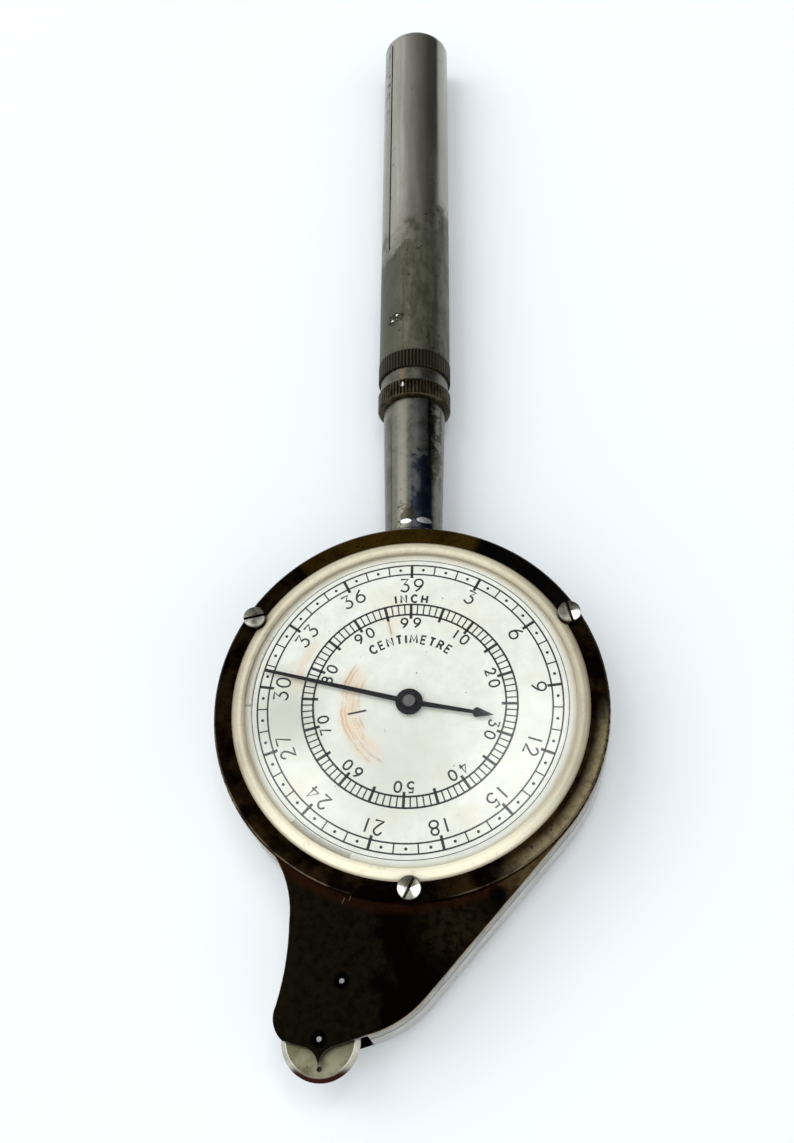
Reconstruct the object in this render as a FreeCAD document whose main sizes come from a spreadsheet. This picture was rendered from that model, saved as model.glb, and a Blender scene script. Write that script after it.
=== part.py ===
import FreeCAD, Part
import math
import os
import re
import Sketcher

# Opisometer (map measurer).  It lies on its back: Z = 0 is the back face, the dial looks up, X = Y = 0
# is the axis of the dial, the handle points along +Y and the tracing wheel sits at the -Y end.

SIZES = [
    # round case, pressed from two shells that meet at a seam
    ("case_radius", "19.15"),
    ("case_height", "6.8"),
    ("front_skirt", "2.8"),
    ("shell_thickness", "0.6"),
    ("back_edge_round", "0.5"),
    ("front_edge_round", "0.15"),
    # index at the foot of the front plate
    ("index_reach", "2.21"),
    ("index_half_width", "1.1"),
    ("index_root", "0.6"),
    ("index_round", "1.8"),
    # tracing wheel and its arbor
    ("wheel_radius", "3.5"),
    ("wheel_thickness", "1.1"),
    ("wheel_bevel", "0.4"),
    ("wheel_room", "0.35"),
    ("wheel_mark_radius", "0.2"),
    ("wheel_mark_depth", "0.25"),
    ("wheel_mark_reach", "2.4"),
    ("mouth_gap", "0.7"),
    # gear train: tracing pinion, second wheel and pinion, idler, centre wheel
    ("tracing_teeth", "10"),
    ("second_teeth", "48"),
    ("leaf_teeth", "8"),
    ("idler_teeth", "48"),
    ("centre_teeth", "75"),
    ("gear_thickness", "0.5"),
    ("tooth_play", "0.12"),
    ("floor_room", "0.9"),
    ("second_gear_drop", "1.25"),
    ("pinion_overlap", "0.3"),
    ("gear_window_count", "4"),
    ("gear_rim", "3.5"),
    ("gear_hub", "0.2"),
    # arbors and their holes
    ("arbor_radius", "0.45"),
    ("pivot_radius", "0.22"),
    ("pivot_length", "0.42"),
    ("pivot_shake", "0.04"),
    ("end_shake", "0.05"),
    ("oil_sink_radius", "0.62"),
    ("centre_arbor_radius", "0.8"),
    ("centre_neck_radius", "0.55"),
    ("centre_tip_radius", "0.42"),
    ("bush_wall", "0.4"),
    ("bush_flange_radius", "1.8"),
    ("bush_flange", "0.5"),
    # dial, crystal and bezel
    ("bezel_step", "0.15"),
    ("bezel_width", "1.7"),
    ("bezel_height", "0.65"),
    ("bezel_chamfer", "0.15"),
    ("dial_thickness", "0.25"),
    ("seat_play", "0.05"),
    ("surround_width", "1.2"),
    ("surround_height", "0.38"),
    ("surround_round", "0.95"),
    ("flange_thickness", "0.2"),
    ("dome_inset", "1.25"),
    ("dome_wall", "0.6"),
    ("dome_side", "0.25"),
    ("dome_shoulder", "1.05"),
    ("dome_crown", "0.65"),
    ("bezel_screw_inset", "1.07"),
    ("bezel_screw_head", "1.2"),
    ("bezel_screw_rise", "0.9"),
    ("bezel_screw_shank", "0.5"),
    ("bezel_screw_length", "1.6"),
    ("slot_width", "0.28"),
    ("slot_depth", "0.4"),
    ("screw_edge", "0.12"),
    # needle
    ("needle_lift", "0.55"),
    ("needle_thickness", "0.12"),
    ("needle_eye", "1.32"),
    ("needle_margin", "1.45"),
    ("needle_root_width", "0.5"),
    ("needle_tip_width", "0.14"),
    ("tail_reach", "8.2"),
    ("tail_root_width", "0.5"),
    ("tail_neck_width", "0.34"),
    ("head_length", "2.0"),
    ("head_width", "1.0"),
    ("collet_flange", "1.15"),
    ("collet_lift", "0.35"),
    ("collet_radius", "0.78"),
    ("collet_rise", "0.3"),
    # pillars between the shells and the screws at the back
    ("pillar_radius", "0.5"),
    ("pillar_bore", "0.3"),
    ("pillar_bore_depth", "2.2"),
    ("edge_pillar_along", "8.35"),
    ("rim_pillar_inset", "1.5"),
    ("back_screw_head", "0.7"),
    ("back_screw_rise", "0.3"),
    ("back_screw_shank", "0.27"),
    ("back_screw_length", "1.8"),
    # stem: block inside the case, tapered ferrule and knurled collar
    ("block_width", "8.0"),
    ("block_depth", "3.2"),
    ("block_spigot", "6.0"),
    ("ferrule_cover", "0.45"),
    ("ferrule_flare", "0.42"),
    ("ferrule_wall", "0.4"),
    ("ferrule_bead", "0.2"),
    ("ferrule_bead_length", "0.6"),
    ("stem_length", "15.75"),
    ("collar_radius", "4.0"),
    ("collar_lip", "0.8"),
    ("collar_length", "2.6"),
    ("collar_plug", "3.0"),
    ("neck_radius", "3.72"),
    ("neck_length", "1.75"),
    ("neck_groove", "0.3"),
    # handle: stud, threaded bush, rolled tube and its end cap
    ("stud_radius", "1.9"),
    ("stud_length", "6.0"),
    ("stud_play", "0.05"),
    ("bush_length", "1.75"),
    ("handle_gap", "0.05"),
    ("handle_length", "50.7"),
    ("handle_radius", "3.95"),
    ("handle_wall", "0.45"),
    ("handle_knurl_length", "2.1"),
    ("knurl_teeth", "64"),
    ("knurl_depth", "0.14"),
    ("slit_width", "0.22"),
    ("slit_start", "15.7"),
    ("slit_end_gap", "0.6"),
    ("cap_flange", "0.25"),
    ("cap_plug", "1.6"),
]

# plan of the tail and of the gear train, as shares of the case radius, so that they grow together
SHARES = [
    ("wheel_side", "0.40313"),
    ("wheel_drop", "1.5963"),
    ("foot_rise", "0.010966"),
    ("foot_side", "0.20366"),
    ("foot_drop", "0.051175"),
    ("flank_foot_round", "0.52219"),
    ("corner_side", "0.16867"),
    ("corner_drop", "0.0078329"),
    ("corner_round", "0.13055"),
    ("shoulder_side", "0.20627"),
    ("shoulder_rise", "0.14465"),
    ("shoulder_round", "1.2794"),
    ("waist_x", "0.56397"),
    ("waist_y", "1.0757"),
    ("waist_round", "0.51436"),
    ("fine_module", "0.0093995"),
    ("coarse_module", "0.015666"),
]

# directions, in degrees
BEARINGS = [
    ("flank_bearing", "41.35"),
    ("waist_bearing", "49.7"),
    ("train_bearing", "69.3"),
    ("slit_bearing", "51.5"),
    ("side_pillar_bearing", "43.3"),
    ("top_pillar_bearing", "65.7"),
    ("tail_bearing", "100.8"),
    ("needle_bearing", "284.4"),
]

# sizes that follow from others
DERIVED = {
    "flank_cos": "cos(flank_bearing * 1deg)",
    "flank_sin": "sin(flank_bearing * 1deg)",
    "wheel_x": "-wheel_side",
    "wheel_y": "-wheel_drop",
    "foot_x": "wheel_x + foot_side",
    "foot_y": "wheel_y + foot_rise",
    "foot_depth": "case_radius - foot_x * flank_cos + foot_y * flank_sin",
    "flank_length": "-foot_x * flank_sin - foot_y * flank_cos"
                    " - sqrt(2 * flank_foot_round * foot_depth - foot_depth^2)",
    "seam_height": "case_height - front_skirt",
    "axis_height": "case_height / 2",
    "wheel_base": "case_height - shell_thickness - wheel_room - wheel_thickness",
    "second_gear_base": "wheel_base - second_gear_drop",
    "centre_gear_base": "shell_thickness + floor_room",
    "ferrule_root": "axis_height - ferrule_cover",
    "ferrule_top": "ferrule_root + ferrule_flare",
    "case_inside": "case_height - 2 * shell_thickness",
    "bezel_radius": "case_radius - bezel_step",
    "bezel_bore": "bezel_radius - bezel_width",
    "bezel_screw_circle": "bezel_radius - bezel_screw_inset",
    "glass_radius": "bezel_bore - seat_play",
    "dome_radius": "glass_radius - dome_inset",
    "dome_bore": "dome_radius - dome_wall",
    "shoulder_x": "dome_radius - dome_shoulder",
    "shoulder_z": "flange_thickness + dome_side + dome_shoulder",
    "shoulder_bore": "dome_shoulder - dome_wall",
    "crown_round": "(shoulder_x^2 + dome_crown^2) / (2 * dome_crown)",
    "surround_inner": "glass_radius - surround_width",
    "surround_edge": "bezel_height - dial_thickness - flange_thickness",
    "dial_hole": "centre_neck_radius + pivot_shake + bush_wall",
    "bush_low": "case_height - shell_thickness - bush_flange",
    "collet_low": "case_height + dial_thickness + collet_lift",
    "needle_low": "case_height + dial_thickness + needle_lift",
    "collet_top": "needle_low + needle_thickness + collet_rise",
    "needle_root": "(needle_eye + collet_radius) / 2",
    "needle_reach": "surround_inner - needle_margin",
    "head_back": "tail_reach - head_length",
    "rim_pillar_circle": "case_radius - shell_thickness - rim_pillar_inset",
    "edge_pillar_inset": "shell_thickness + seat_play + pillar_radius",
    "pinion_height": "gear_thickness + 2 * pinion_overlap",
    "block_face_y": "case_radius - 2 * shell_thickness - seat_play",
    "bead_low": "case_radius - block_face_y",
    "collar_y": "case_radius + stem_length",
    "ferrule_length": "collar_y - block_face_y",
    "ferrule_taper": "(ferrule_top - ferrule_root) / ferrule_length",
    "bead_round": "ferrule_bead_length * 0.6",
    "collar_top": "collar_length + neck_length",
    "stud_top": "collar_plug + collar_top + stud_length",
    "tube_low_y": "collar_y + collar_top + handle_gap",
    "tube_bore": "handle_radius - handle_wall",
    "tube_length": "handle_length - cap_flange",
    "knurl_swell": "collar_radius - handle_radius",
}

doc = FreeCAD.newDocument("Opisometer")
sheet = doc.addObject("Spreadsheet::Sheet", "Size")
for row, (alias, value) in enumerate(SIZES + SHARES + BEARINGS, start=1):
    sheet.set("A%d" % row, alias.replace("_", " "))
    sheet.set("B%d" % row, value)
    sheet.setAlias("B%d" % row, alias)
doc.recompute()

X_AXIS = FreeCAD.Vector(1, 0, 0)
Y_AXIS = FreeCAD.Vector(0, 1, 0)
Z_AXIS = FreeCAD.Vector(0, 0, 1)
FULL_TURN = 360
PARTS = []
LENGTHS = {alias for alias, _ in SIZES + BEARINGS}
RATIOS = {alias for alias, _ in SHARES}


# ---------------------------------------------------------------- helpers: sheet, points, placements

def cell_names(expression):
    """The expression with 'Size.' before each alias, and with shares and derived sizes written out."""
    def written_out(match):
        word = match.group()
        if word in DERIVED:
            return "(%s)" % cell_names(DERIVED[word])
        if word in RATIOS:
            return "(Size.%s * Size.case_radius)" % word
        return "Size." + word if word in LENGTHS else word
    return re.sub(r"[a-z_]+", written_out, expression)


def size(expression):
    """Value of an expression in the names of the sizes, such as 'case_radius - shell_thickness'."""
    return float(sheet.evalExpression(cell_names(expression)))


def polar(radius, degrees):
    """Point at a radius and an angle counter-clockwise from +X."""
    angle = math.radians(degrees)
    return (radius * math.cos(angle), radius * math.sin(angle))


def clockwise(radius, degrees):
    """Point at a radius and an angle clockwise from +Y, as a dial is read."""
    return polar(radius, 90 - degrees)


def upright(x=0.0, y=0.0, z=0.0, turn=0.0):
    """Placement of a piece whose axis stays along Z."""
    return FreeCAD.Placement(FreeCAD.Vector(x, y, z), FreeCAD.Rotation(Z_AXIS, turn))


def along_handle(y):
    """Placement that lays a piece's own Z axis along the handle, from the given Y on."""
    return FreeCAD.Placement(FreeCAD.Vector(0, y, size("axis_height")), FreeCAD.Rotation(X_AXIS, -90))


def keep(feature, label, placement=None):
    """Name a finished sub-part and put it in its place."""
    feature.Label = label
    if placement is not None:
        feature.Placement = placement
    PARTS.append(feature)
    return feature


# ---------------------------------------------------------------- helpers: sketches and features

def new_body(name):
    return doc.addObject("PartDesign::Body", name)


def origin_part(body, role):
    return [part for part in body.Origin.OriginFeatures if part.Role == role][0]


def new_sketch(body, name, plane="XY_Plane", offset=None):
    """Sketch on an origin plane of its own body, raised along the plane's normal by an expression."""
    sketch = body.newObject("Sketcher::SketchObject", name)
    sketch.AttachmentSupport = [(origin_part(body, plane), "")]
    sketch.MapMode = "FlatFace"
    if offset is not None:
        sketch.setExpression("AttachmentOffset.Base.z", cell_names(offset))
    return sketch


def number(value):
    return size(value) if isinstance(value, str) else float(value)


def hold(sketch, kind, value, *places):
    """Add a dimension; an expression stays bound to the sheet."""
    index = sketch.addConstraint(Sketcher.Constraint(kind, *places, number(value)))
    if isinstance(value, str):
        sketch.setExpression("Constraints[%d]" % index, cell_names(value))


def bent(start, end, radius, bends_left, long_way):
    """Arc between two points that bends left or right, the short way round or the long way.  It is
    always made counter-clockwise, so one that bends right runs from the end back to the start."""
    chord = end - start
    left = FreeCAD.Vector(-chord.y, chord.x, 0).normalize()
    reach = math.sqrt(max(radius ** 2 - chord.Length ** 2 / 4, 0))
    side = 1 if bends_left != long_way else -1
    centre = (start + end) / 2 + left * (side * reach)
    first, last = (start, end) if bends_left else (end, start)
    angles = [math.atan2(point.y - centre.y, point.x - centre.x) for point in (first, last)]
    if angles[1] < angles[0]:
        angles[1] += 2 * math.pi
    return Part.ArcOfCircle(Part.Circle(centre, Z_AXIS, radius), *angles)


def draw_outline(sketch, corners):
    """Closed outline.  A corner is (x, y), or (x, y, radius, 'left' or 'right') where the stretch that
    ends there is an arc; 'left long' is the arc that goes the long way round."""
    first = sketch.GeometryCount
    points = [FreeCAD.Vector(number(corner[0]), number(corner[1]), 0) for corner in corners]
    ends = []
    for i, corner in enumerate(corners):
        if len(corner) == 2:
            sketch.addGeometry(Part.LineSegment(points[i - 1], points[i]))
            ends.append((1, 2))
            continue
        way = corner[3].split()
        sketch.addGeometry(bent(points[i - 1], points[i], number(corner[2]), "left" in way, "long" in way))
        ends.append((1, 2) if "left" in way else (2, 1))
    for i, corner in enumerate(corners):
        after = (i + 1) % len(corners)
        sketch.addConstraint(Sketcher.Constraint("Coincident", first + i, ends[i][1],
                                                 first + after, ends[after][0]))
        hold(sketch, "DistanceX", corner[0], -1, 1, first + i, ends[i][1])
        hold(sketch, "DistanceY", corner[1], -1, 1, first + i, ends[i][1])
        if len(corner) > 2:
            hold(sketch, "Radius", corner[2], first + i)


def draw_circle(sketch, x, y, radius):
    index = sketch.addGeometry(Part.Circle(FreeCAD.Vector(number(x), number(y), 0), Z_AXIS, number(radius)))
    hold(sketch, "DistanceX", x, -1, 1, index, 3)
    hold(sketch, "DistanceY", y, -1, 1, index, 3)
    hold(sketch, "Radius", radius, index)


def pad(body, sketch, length, name="Pad"):
    feature = body.newObject("PartDesign::Pad", name)
    feature.Profile = sketch
    feature.setExpression("Length", cell_names(length))
    doc.recompute()
    return feature


def pocket(body, sketch, depth, upward=False, name="Pocket"):
    """Cut down from the sketch, or up, and make sure that it cut something."""
    before = body.Shape.Volume
    feature = body.newObject("PartDesign::Pocket", name)
    feature.Profile = sketch
    feature.Reversed = upward
    feature.setExpression("Length", cell_names(depth))
    doc.recompute()
    if body.Shape.Volume >= before:
        raise RuntimeError("%s of %s cuts nothing" % (name, body.Name))
    return feature


def drill(body, name, spots, radius, start, depth, upward=False):
    """Round holes at (x, y) spots, cut from the height start."""
    sketch = new_sketch(body, name + "Spots", "XY_Plane", start)
    for x, y in spots:
        draw_circle(sketch, x, y, radius)
    return pocket(body, sketch, depth, upward, name)


def sink(body, name, spots, start, upward=False):
    """Conical oil sinks: the outer face is countersunk down to the pivot hole."""
    sketch = new_sketch(body, name + "Spots", "XY_Plane", start)
    for x, y in spots:
        draw_circle(sketch, x, y, "pivot_radius + pivot_shake")
    doc.recompute()
    before = body.Shape.Volume
    hole = body.newObject("PartDesign::Hole", name)
    hole.Profile = sketch
    doc.recompute()
    hole.ThreadType = 0
    hole.DepthType = "ThroughAll"
    hole.DrillPoint = "Flat"
    hole.HoleCutType = "Countersink"
    hole.HoleCutCustomValues = True
    hole.Reversed = upward
    hole.setExpression("Diameter", cell_names("2 * (pivot_radius + pivot_shake)"))
    hole.setExpression("HoleCutDiameter", cell_names("2 * oil_sink_radius"))
    hole.HoleCutCountersinkAngle = 90
    doc.recompute()
    if body.Shape.Volume >= before:
        raise RuntimeError("%s of %s cuts nothing" % (name, body.Name))
    return hole


def turned(label, corners, placement):
    """Turned piece: corners are (radius, height) of half of its section, turned about its own Z axis."""
    body = new_body(label)
    sketch = new_sketch(body, label + "_section", "XZ_Plane")
    draw_outline(sketch, corners)
    feature = body.newObject("PartDesign::Revolution", "Turn")
    feature.Profile = sketch
    feature.ReferenceAxis = (sketch, ["V_Axis"])
    feature.Angle = FULL_TURN
    doc.recompute()
    return keep(body, label, placement)


def round_edges(body, wanted, radius, name="Round"):
    """Fillet the edges of the body's tip for which wanted(edge) is true."""
    blank = body.Tip
    edges = ["Edge%d" % (i + 1) for i, edge in enumerate(blank.Shape.Edges) if wanted(edge)]
    feature = body.newObject("PartDesign::Fillet", name)
    feature.Base = (blank, edges)
    feature.setExpression("Radius", cell_names(radius))
    doc.recompute()
    return feature


def lies_at(height):
    """Test for edges that lie flat at a height."""
    def wanted(edge):
        box = edge.BoundBox
        return abs(box.ZMin - height) < 1e-4 and abs(box.ZMax - height) < 1e-4
    return wanted


def cylinder(name, radius, height, placement):
    feature = doc.addObject("Part::Cylinder", name)
    feature.setExpression("Radius", cell_names(radius))
    feature.setExpression("Height", cell_names(height))
    feature.Placement = placement
    return feature


def box(name, length, width, height, placement):
    feature = doc.addObject("Part::Box", name)
    feature.setExpression("Length", cell_names(length))
    feature.setExpression("Width", cell_names(width))
    feature.setExpression("Height", cell_names(height))
    feature.Placement = placement
    return feature


def joined(kind, name, members):
    feature = doc.addObject(kind, name)
    if kind == "Part::MultiFuse":
        feature.Shapes = members
    elif kind == "Part::Compound":
        feature.Links = members
    else:
        feature.Base, feature.Tool = members
    return feature


# ---------------------------------------------------------------- layout of the gear train

def tracing_axis():
    return (size("wheel_x"), size("wheel_y"))


def second_axis():
    """The second arbor stands one centre distance from the tracing arbor, towards the dial."""
    distance = size("fine_module * (tracing_teeth + second_teeth) / 2")
    dx, dy = polar(distance, size("train_bearing"))
    x, y = tracing_axis()
    return (x + dx, y + dy)


def idler_axis():
    """The idler meshes with the second pinion and with the centre wheel; it stands right of their line."""
    x, y = second_axis()
    to_second = size("coarse_module * (leaf_teeth + idler_teeth) / 2")
    to_centre = size("coarse_module * (idler_teeth + centre_teeth) / 2")
    span = math.hypot(x, y)
    along = (to_second ** 2 - to_centre ** 2 + span ** 2) / (2 * span)
    aside = math.sqrt(max(to_second ** 2 - along ** 2, 0))
    ux, uy = -x / span, -y / span
    return (x + along * ux + aside * uy, y + along * uy - aside * ux)


def bearing(start, end):
    return math.degrees(math.atan2(end[1] - start[1], end[0] - start[0]))


def meshed_turn(turn, teeth, line, next_teeth):
    """Turn of the next gear, so that a gap of it meets a tooth of this one on the line of centres."""
    pitch_share = ((turn - line) * teeth / FULL_TURN) % 1
    return line + 180 - (pitch_share + 0.5) * FULL_TURN / next_teeth


TRACING = tracing_axis()
SECOND = second_axis()
IDLER = idler_axis()
CENTRE = (0.0, 0.0)
TRACING_TURN = size("train_bearing")
SECOND_TURN = meshed_turn(TRACING_TURN, size("tracing_teeth"), bearing(TRACING, SECOND), size("second_teeth"))
LEAF_TURN = bearing(SECOND, IDLER)
IDLER_TURN = meshed_turn(LEAF_TURN, size("leaf_teeth"), bearing(SECOND, IDLER), size("idler_teeth"))
CENTRE_TURN = meshed_turn(IDLER_TURN, size("idler_teeth"), bearing(IDLER, CENTRE), size("centre_teeth"))


# ---------------------------------------------------------------- gears

PRESSURE_ANGLE = math.radians(20)
ADDENDUM = 0.9
DEDENDUM = 1.25


def involute_angle(radius, base_radius):
    """Angle by which an involute has moved on where it reaches a radius."""
    if radius <= base_radius:
        return 0.0
    swing = math.acos(base_radius / radius)
    return math.tan(swing) - swing


def gear_tooth(module, teeth, play):
    """Edges of one tooth on +X and of the root land after it.  Each flank is the arc through three
    points of its involute, with a radial line below the base circle."""
    pitch_radius = module * teeth / 2
    base_radius = pitch_radius * math.cos(PRESSURE_ANGLE)
    tip_radius = pitch_radius + ADDENDUM * module
    root_radius = pitch_radius - DEDENDUM * module
    half_base = math.pi / (2 * teeth) - play * module / (2 * pitch_radius)
    half_base += involute_angle(pitch_radius, base_radius)
    foot_radius = max(base_radius, root_radius)

    def corner(radius, side, angle=None):
        swing = half_base - involute_angle(radius, base_radius) if angle is None else angle
        return FreeCAD.Vector(radius * math.cos(swing), side * radius * math.sin(swing), 0)

    radii = [foot_radius, (foot_radius + tip_radius) / 2, tip_radius]
    right = [corner(radius, -1) for radius in radii]
    left = [corner(radius, 1) for radius in radii]
    half_root = half_base - involute_angle(root_radius, base_radius)
    pitch = 2 * math.pi / teeth
    land = [corner(root_radius, 1, half_root), corner(root_radius, 1, pitch / 2),
            corner(root_radius, 1, pitch - half_root)]
    edges = [Part.Arc(*right).toShape(), Part.LineSegment(right[2], left[2]).toShape(),
             Part.Arc(*reversed(left)).toShape(), Part.Arc(*land).toShape()]
    if root_radius < base_radius:
        edges.insert(0, Part.LineSegment(corner(root_radius, -1, half_root), right[0]).toShape())
        edges.insert(4, Part.LineSegment(left[0], land[0]).toShape())
    return edges


def gear_face(module, teeth, play):
    """Flat face of an involute gear with a tooth on +X; each tooth is thinner by play modules."""
    edges = []
    for tooth in range(teeth):
        for edge in gear_tooth(module, teeth, play):
            turned_edge = edge.copy()
            turned_edge.rotate(FreeCAD.Vector(), Z_AXIS, FULL_TURN * tooth / teeth)
            edges.append(turned_edge)
    return Part.Face(Part.Wire(edges))


def gear(label, module, teeth, thickness, bore, position, base, turn, is_crossed=False):
    """Gear as a plate with a round bore; a crossed wheel has round windows between its arms."""
    pitch_radius = size(module) * size(teeth) / 2
    solid = gear_face(size(module), round(size(teeth)), size("tooth_play")).extrude(Z_AXIS * size(thickness))
    cuts = [Part.makeCylinder(size(bore), size(thickness))]
    if is_crossed:
        rim = pitch_radius - size("gear_rim") * size(module)
        hub = size(bore) + size("gear_hub") * pitch_radius
        count = round(size("gear_window_count"))
        for i in range(count):
            x, y = polar((rim + hub) / 2, FULL_TURN * (i + 0.5) / count)
            cuts.append(Part.makeCylinder((rim - hub) / 2, size(thickness), FreeCAD.Vector(x, y, 0)))
    feature = doc.addObject("Part::Feature", label)
    feature.Shape = solid.cut(cuts)
    return keep(feature, label, upright(position[0], position[1], size(base), turn))


gear("centre_wheel", "coarse_module", "centre_teeth", "gear_thickness", "centre_arbor_radius",
     CENTRE, "centre_gear_base", CENTRE_TURN, is_crossed=True)
gear("idler_wheel", "coarse_module", "idler_teeth", "gear_thickness", "arbor_radius",
     IDLER, "centre_gear_base", IDLER_TURN, is_crossed=True)
gear("second_wheel", "fine_module", "second_teeth", "gear_thickness", "arbor_radius",
     SECOND, "second_gear_base", SECOND_TURN, is_crossed=True)
gear("second_pinion", "coarse_module", "leaf_teeth", "pinion_height", "arbor_radius",
     SECOND, "centre_gear_base - pinion_overlap", LEAF_TURN)
gear("tracing_pinion", "fine_module", "tracing_teeth", "pinion_height", "arbor_radius",
     TRACING, "second_gear_base - pinion_overlap", TRACING_TURN)


# ---------------------------------------------------------------- arbors and the centre bush

def arbor(label, position):
    """Steel arbor with a turned-down pivot at each end, which runs in the two shells."""
    shoulder = "pivot_length + case_inside - 2 * end_shake"
    return turned(label, [
        ("0", "0"),
        ("pivot_radius", "0"),
        ("pivot_radius", "pivot_length"),
        ("arbor_radius", "pivot_length"),
        ("arbor_radius", shoulder),
        ("pivot_radius", shoulder),
        ("pivot_radius", shoulder + " + pivot_length"),
        ("0", shoulder + " + pivot_length"),
    ], upright(position[0], position[1], size("shell_thickness + end_shake - pivot_length")))


arbor("tracing_arbor", TRACING)
arbor("second_arbor", SECOND)
arbor("idler_arbor", IDLER)

ARBOR_FOOT = "(shell_thickness + end_shake - pivot_length)"
turned("centre_arbor", [
    ("0", "0"),
    ("pivot_radius", "0"),
    ("pivot_radius", "pivot_length"),
    ("centre_arbor_radius", "pivot_length"),
    ("centre_arbor_radius", "bush_low - end_shake - " + ARBOR_FOOT),
    ("centre_neck_radius", "bush_low - end_shake - " + ARBOR_FOOT),
    ("centre_neck_radius", "collet_low - " + ARBOR_FOOT),
    ("centre_tip_radius", "collet_low - " + ARBOR_FOOT),
    ("centre_tip_radius", "collet_top - " + ARBOR_FOOT),
    ("0", "collet_top - " + ARBOR_FOOT),
], upright(z=size(ARBOR_FOOT)))

turned("centre_bush", [
    ("centre_neck_radius + pivot_shake", "0"),
    ("bush_flange_radius", "0"),
    ("bush_flange_radius", "bush_flange"),
    ("dial_hole", "bush_flange"),
    ("dial_hole", "bush_flange + shell_thickness + dial_thickness"),
    ("centre_neck_radius + pivot_shake", "bush_flange + shell_thickness + dial_thickness"),
], upright(z=size("bush_low")))


# ---------------------------------------------------------------- tracing wheel

def tracing_wheel():
    """Disc with a double-bevelled rim and a small drilled mark, by which its turns are counted."""
    body = turned("tracing_wheel", [
        ("arbor_radius", "0"),
        ("wheel_radius - wheel_bevel", "0"),
        ("wheel_radius", "wheel_bevel"),
        ("wheel_radius", "wheel_thickness - wheel_bevel"),
        ("wheel_radius - wheel_bevel", "wheel_thickness"),
        ("arbor_radius", "wheel_thickness"),
    ], upright(TRACING[0], TRACING[1], size("wheel_base")))
    drill(body, "Mark", [("0", "-wheel_mark_reach")], "wheel_mark_radius", "wheel_thickness",
          "wheel_mark_depth")


tracing_wheel()


# ---------------------------------------------------------------- the two shells of the case

def case_outline():
    """Outline of the case, counter-clockwise from the waist on the left."""
    return [
        ("-case_radius * cos(waist_bearing * 1deg)", "-case_radius * sin(waist_bearing * 1deg)",
         "case_radius", "left long"),
        ("-waist_x", "-waist_y", "waist_round", "right"),
        ("wheel_x - shoulder_side", "wheel_y + shoulder_rise", "shoulder_round", "right"),
        ("wheel_x - corner_side", "wheel_y - corner_drop", "corner_round", "left"),
        ("wheel_x", "wheel_y - foot_drop"),
        ("foot_x", "foot_y"),
        ("case_radius * flank_cos - flank_length * flank_sin",
         "-case_radius * flank_sin - flank_length * flank_cos", "flank_foot_round", "left"),
        ("case_radius * flank_cos", "-case_radius * flank_sin"),
    ]


def shell_tray(label, height, open_face_high):
    """Pressed tray: the outline padded to its height, then hollowed through its open face."""
    body = new_body(label)
    sketch = new_sketch(body, label + "_outline")
    draw_outline(sketch, case_outline())
    blank = pad(body, sketch, height)
    level = size(height) if open_face_high else 0.0
    faces = ["Face%d" % (i + 1) for i, face in enumerate(blank.Shape.Faces)
             if abs(face.CenterOfMass.z - level) < 1e-6]
    hollow = body.newObject("PartDesign::Thickness", "Hollow")
    hollow.Base = (blank, faces)
    hollow.setExpression("Value", cell_names("shell_thickness"))
    hollow.Mode = 0
    hollow.Join = 1
    hollow.Reversed = True
    doc.recompute()
    return body


def stem_notch(body, axis_height):
    """Round notch in the wall for the ferrule of the stem."""
    sketch = new_sketch(body, "StemNotchCircle", "XZ_Plane", "-block_face_y")
    draw_circle(sketch, "0", axis_height, "ferrule_root + seat_play")
    pocket(body, sketch, "3 * shell_thickness", name="StemNotch")


PILLARS = [
    ("(case_radius - edge_pillar_inset) * flank_cos - edge_pillar_along * flank_sin",
     "-(case_radius - edge_pillar_inset) * flank_sin - edge_pillar_along * flank_cos"),
    ("rim_pillar_circle * cos(top_pillar_bearing * 1deg)",
     "rim_pillar_circle * sin(top_pillar_bearing * 1deg)"),
    ("-rim_pillar_circle * cos(top_pillar_bearing * 1deg)",
     "rim_pillar_circle * sin(top_pillar_bearing * 1deg)"),
    ("-rim_pillar_circle * cos(side_pillar_bearing * 1deg)",
     "-rim_pillar_circle * sin(side_pillar_bearing * 1deg)"),
]
BEZEL_SCREWS = [(-59.5, 11.4), (60.7, 74.7), (179.5, 64.1)]


def rear_shell():
    body = shell_tray("rear_shell", "seam_height", True)
    round_edges(body, lies_at(0.0), "back_edge_round", "BackEdge")
    drill(body, "WheelMouth", [("wheel_x", "wheel_y")], "wheel_radius + mouth_gap", "seam_height",
          "seam_height - shell_thickness")
    stem_notch(body, "axis_height")
    sink(body, "OilSinks", [TRACING, SECOND, IDLER], "0", upward=True)
    drill(body, "CentreSocket", [CENTRE], "pivot_radius + pivot_shake", "shell_thickness", "pivot_length")
    drill(body, "ScrewHoles", PILLARS, "back_screw_shank + seat_play", "0", "2 * shell_thickness",
          upward=True)
    drill(body, "ScrewSinks", PILLARS, "back_screw_head + seat_play", "0", "back_screw_rise + seat_play",
          upward=True)
    return keep(body, "rear_shell", upright())


def index_outline():
    """Pointed index at the foot of the front plate, which stands over the mark of the wheel."""
    low = "wheel_y - foot_drop"
    return [
        ("wheel_x - index_half_width", low + " + index_root"),
        ("wheel_x - index_half_width", low + " + index_root / 2"),
        ("wheel_x", "wheel_y - index_reach", "index_round", "right"),
        ("wheel_x + index_half_width", low + " + index_root / 2", "index_round", "right"),
        ("wheel_x + index_half_width", low + " + index_root"),
    ]


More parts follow.
